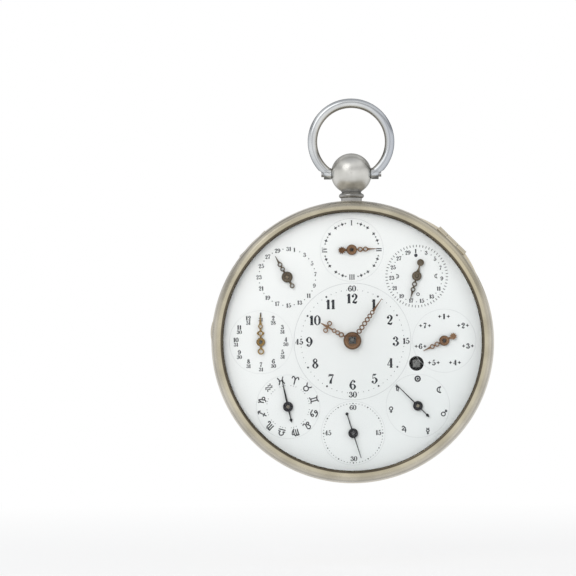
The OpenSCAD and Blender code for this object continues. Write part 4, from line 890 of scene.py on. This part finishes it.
def draw_band():
    """A crimson band with stars, pairs of leaves and dots."""
    band_r = 25.05
    band_width = 1.75
    leaf_spread = 0.24
    leaf_lean = 28
    band.circle(0, 0, band_r, band_width, 240)
    for k in range(36):
        c = 10 * k
        if k % 3 == 0:
            band_stars.star(*clock(band_r, c), 0.62, c)
        else:
            for side in (-1, 1):
                x, y = clock(band_r + side * leaf_spread, c)
                band_stars.oval(x, y, 0.62, 0.13, math.radians(-c + side * leaf_lean), 12)
            band_stars.disc(*clock(band_r, c), 0.15, 10)
        band_stars.disc(*clock(band_r, c + 5), 0.2, 8)


def draw_regulator_scale():
    """An arc with small flowers at its ends, then bars, pairs of bars and a star at the middle."""
    flowers_r = 9.75
    bar_inner, bar_outer = 9.35, 10.1
    star_r = 9.9
    arc_r = 10.6
    half_pair = 1.1
    for c in (12, 171):
        x, y = clock(flowers_r, c, REGULATOR)
        back_figures.star(x, y, 0.5, c, tips=4, waist=0.4)
        back_figures.disc(x, y, 0.14, 8)
    for c in (38, 144, 63 - half_pair, 63 + half_pair, 117 - half_pair, 117 + half_pair):
        back_figures.segment(clock(bar_inner, c, REGULATOR), clock(bar_outer, c, REGULATOR), 0.13, 0.09)
    back_figures.star(*clock(star_r, 90, REGULATOR), 0.3, 90, tips=4, waist=0.4)
    for text, c in (("+", -17), ("-", -163)):
        back_figures.label(text, *clock(REGULATOR_SIGNS.radius, c, REGULATOR), REGULATOR_SIGNS)
    back_lines.circle(*REGULATOR, arc_r, 0.06, n=120, first=-20, last=190)


# The two sprigs stand in line, beside the dial's centre; their inner ends are this far from it
SPRIG_X = 0.75
SPRIG_INNER_END = 10.0
# Points of a stem, from its inner end
SPRIG_STEM = ((0.3, 0.0), (-0.5, 2.2), (0.25, 4.4), (-0.3, 6.3), (0.45, 8.4), (-0.1, 10.4),
              (0.35, 12.6))
# Each leaf's place, its lean in degrees, half its length, and the painting that it is in
SPRIG_LEAVES = (
    (-0.95, 1.0, 40, 0.62, leaves), (0.75, 1.7, -35, 0.7, blue_leaves), (-1.15, 2.6, 30, 0.75, blue_leaves),
    (0.95, 3.3, -30, 0.66, leaves), (-1.4, 5.2, 60, 0.5, leaves), (1.35, 5.3, -60, 0.5, blue_leaves),
    (-0.9, 7.6, 35, 0.62, leaves), (1.15, 8.0, -35, 0.72, blue_leaves), (-0.95, 9.0, 25, 0.66, blue_leaves),
    (0.95, 9.6, -20, 0.6, leaves), (-0.75, 10.9, 30, 0.6, leaves), (0.75, 11.3, -30, 0.5, blue_leaves),
    (0.15, 13.0, 0, 0.62, leaves))
SPRIG_ROSES = ((-1.15, 4.6), (1.25, 4.4), (0.1, 6.6))


def draw_rose(x, y):
    """Six outer petals round a middle, with pale arcs and a crimson heart."""
    for k in range(6):
        roses.disc(*clock(0.42, 60 * k, (x, y)), 0.34, 12)
    roses.disc(x, y, 0.45)
    for k in range(3):
        start = 40 + 110 * k
        petals.circle(x, y, 0.3 + 0.17 * k, 0.06, n=24, first=start, last=start + 190)
    hearts.disc(x, y, 0.13, 10)


def draw_sprig(direction):
    """A rose sprig that grows up, with a direction of 1, or down, with -1."""

    def at(x, y):
        return SPRIG_X + x, direction * (SPRIG_INNER_END + y)

    leaves.line([(*at(x, y), 0.09) for x, y in SPRIG_STEM])
    for x, y, lean, half_length, painting in SPRIG_LEAVES:
        middle = at(x, y)
        painting.oval(*middle, half_length, 0.2, math.radians(90 - lean), 14)
        leaves.segment(at(x * 0.25, y - 0.5), middle, 0.06, 0.05)
    for x, y in SPRIG_ROSES:
        draw_rose(*at(x, y))


draw_band()
draw_regulator_scale()
for direction in (1, -1):
    draw_sprig(direction)
for painting in (band, band_stars, back_figures, back_lines, leaves, blue_leaves, roses, petals, hearts):
    painting.build()


# Stage

def seen_rays(tree):
    """1 for the rays by which the camera, polished metal or glass sees something."""
    paths = tree.nodes.new("ShaderNodeLightPath")
    total = paths.outputs["Is Camera Ray"]
    for kind in ("Is Glossy Ray", "Is Transmission Ray"):
        total = either(tree, total, paths.outputs[kind])
    return total


def white_floor(name, colour, share, near, far):
    """A floor that shows white and keeps the object's shadow.

    share is the white's part up to a distance near, and it grows to the whole at a distance far.
    """
    m = bpy.data.materials.new(name)
    m.use_nodes = True
    tree = m.node_tree
    tree.nodes.clear()
    link = tree.links.new
    out = tree.nodes.new("ShaderNodeOutputMaterial")
    diffuse = tree.nodes.new("ShaderNodeBsdfDiffuse")
    diffuse.inputs["Color"].default_value = (*colour, 1)
    glow = tree.nodes.new("ShaderNodeEmission")
    glow.inputs["Strength"].default_value = 1.0
    coords = tree.nodes.new("ShaderNodeTexCoord")
    fade = tree.nodes.new("ShaderNodeMapRange")
    fade.inputs["From Min"].default_value = near
    fade.inputs["From Max"].default_value = far
    fade.inputs["To Min"].default_value = share
    fade.inputs["To Max"].default_value = 1.0
    part = tree.nodes.new("ShaderNodeMath")
    part.operation = "MULTIPLY"
    mix = tree.nodes.new("ShaderNodeMixShader")
    link(vector_math(tree, "LENGTH", coords.outputs["Object"])["Value"], fade.inputs["Value"])
    link(fade.outputs["Result"], part.inputs[0])
    link(seen_rays(tree), part.inputs[1])
    link(part.outputs["Value"], mix.inputs["Fac"])
    link(diffuse.outputs["BSDF"], mix.inputs[1])
    link(glow.outputs["Emission"], mix.inputs[2])
    link(mix.outputs["Shader"], out.inputs["Surface"])
    return m


def floor(half, z):
    """A square floor; half its width and its height are in metres."""
    mesh = bpy.data.meshes.new("floor")
    mesh.from_pydata([(-half, -half, z), (half, -half, z), (half, half, z), (-half, half, z)], [],
                     [(0, 1, 2, 3)])
    mesh.materials.append(white_floor("floor_white", (0.86, 0.86, 0.86), share=0.75, near=0.12, far=0.4))
    obj = bpy.data.objects.new("floor", mesh)
    bpy.context.scene.collection.objects.link(obj)


def world():
    """Even light for the object, and for what sees it a white horizon that greys above and below."""
    w = bpy.data.worlds.new("studio")
    bpy.context.scene.world = w
    w.use_nodes = True
    tree = w.node_tree
    tree.nodes.clear()
    link = tree.links.new
    out = tree.nodes.new("ShaderNodeOutputWorld")
    coords = tree.nodes.new("ShaderNodeTexCoord")
    split = tree.nodes.new("ShaderNodeSeparateXYZ")
    height = tree.nodes.new("ShaderNodeMapRange")
    height.inputs["From Min"].default_value = -1
    # Brightness from straight down, at 0, through the horizon to straight up, at 1
    ramp = tree.nodes.new("ShaderNodeValToRGB")
    elements = ramp.color_ramp.elements
    elements[0].color = (0.45, 0.45, 0.45, 1)
    elements[1].color = (0.55, 0.56, 0.58, 1)
    for place, grey in ((0.3, 0.5), (0.4, 1.0), (0.62, 1.0), (0.7, 0.42), (0.86, 0.95)):
        elements.new(place).color = (grey, grey, grey, 1)
    shown = tree.nodes.new("ShaderNodeBackground")
    soft = tree.nodes.new("ShaderNodeBackground")
    soft.inputs["Color"].default_value = (0.95, 0.97, 1.0, 1)
    soft.inputs["Strength"].default_value = 0.58
    mix = tree.nodes.new("ShaderNodeMixShader")
    link(coords.outputs["Generated"], split.inputs["Vector"])
    link(split.outputs["Z"], height.inputs["Value"])
    link(height.outputs["Result"], ramp.inputs["Fac"])
    link(ramp.outputs["Color"], shown.inputs["Color"])
    link(seen_rays(tree), mix.inputs["Fac"])
    link(soft.outputs["Background"], mix.inputs[1])
    link(shown.outputs["Background"], mix.inputs[2])
    link(mix.outputs["Shader"], out.inputs["Surface"])


def lamp(name, place, power, width, mirrored):
    """A round lamp aimed at the watch's centre; metal and glass show it where it is mirrored."""
    data = bpy.data.lights.new(name, "AREA")
    data.energy = power
    data.shape = "DISK"
    data.size = width
    obj = bpy.data.objects.new(name, data)
    obj.location = place
    obj.rotation_euler = (Vector(CENTRE) - Vector(place)).to_track_quat("-Z", "Y").to_euler()
    obj.visible_glossy = mirrored
    obj.visible_transmission = mirrored
    bpy.context.scene.collection.objects.link(obj)


floor(half=4, z=-0.100)
world()
lamp("key", (-0.26, -0.81, 0.15), power=2.15, width=0.4, mirrored=False)
lamp("glint", (-0.40, -0.60, 0.46), power=0.9, width=0.6, mirrored=True)
lamp("fill", (0.58, -0.55, 0.05), power=1.0, width=0.6, mirrored=False)
lamp("back_key", (0.26, 0.81, 0.15), power=2.4, width=0.4, mirrored=False)
lamp("back_fill", (-0.58, 0.55, 0.05), power=1.0, width=0.6, mirrored=False)


# Camera

# Width of the square image, and the size of one of its pixels at the watch
IMAGE = 576
PIXEL = 0.2208
# The image's middle, in pixels right of and above the watch's centre
MIDDLE = Vector((-64.6, 54.15, 0))
SENSOR = 36
# The camera's distance from the watch, its angles to it, and its own turn
DISTANCE = 620.0
ELEVATION = math.radians(-2.5)
AZIMUTH = math.radians(1.6)
ROLL = math.radians(-0.4)

camera_data = bpy.data.cameras.new("camera")
camera_data.sensor_width = SENSOR
camera_data.lens = SENSOR * DISTANCE / (IMAGE * PIXEL)
camera = bpy.data.objects.new("camera", camera_data)
back = Vector((math.sin(AZIMUTH) * math.cos(ELEVATION), -math.cos(AZIMUTH) * math.cos(ELEVATION),
               math.sin(ELEVATION)))
turned = (-back).to_track_quat("-Z", "Y") @ Quaternion((0, 0, 1), ROLL)
aim = Vector((0, 0, -HANG)) + turned @ MIDDLE * PIXEL
camera.location = (aim + back * DISTANCE) * MM
camera.rotation_mode = "QUATERNION"
camera.rotation_quaternion = turned
bpy.context.scene.collection.objects.link(camera)
bpy.context.scene.camera = camera
bpy.context.scene.view_settings.view_transform = "Standard"
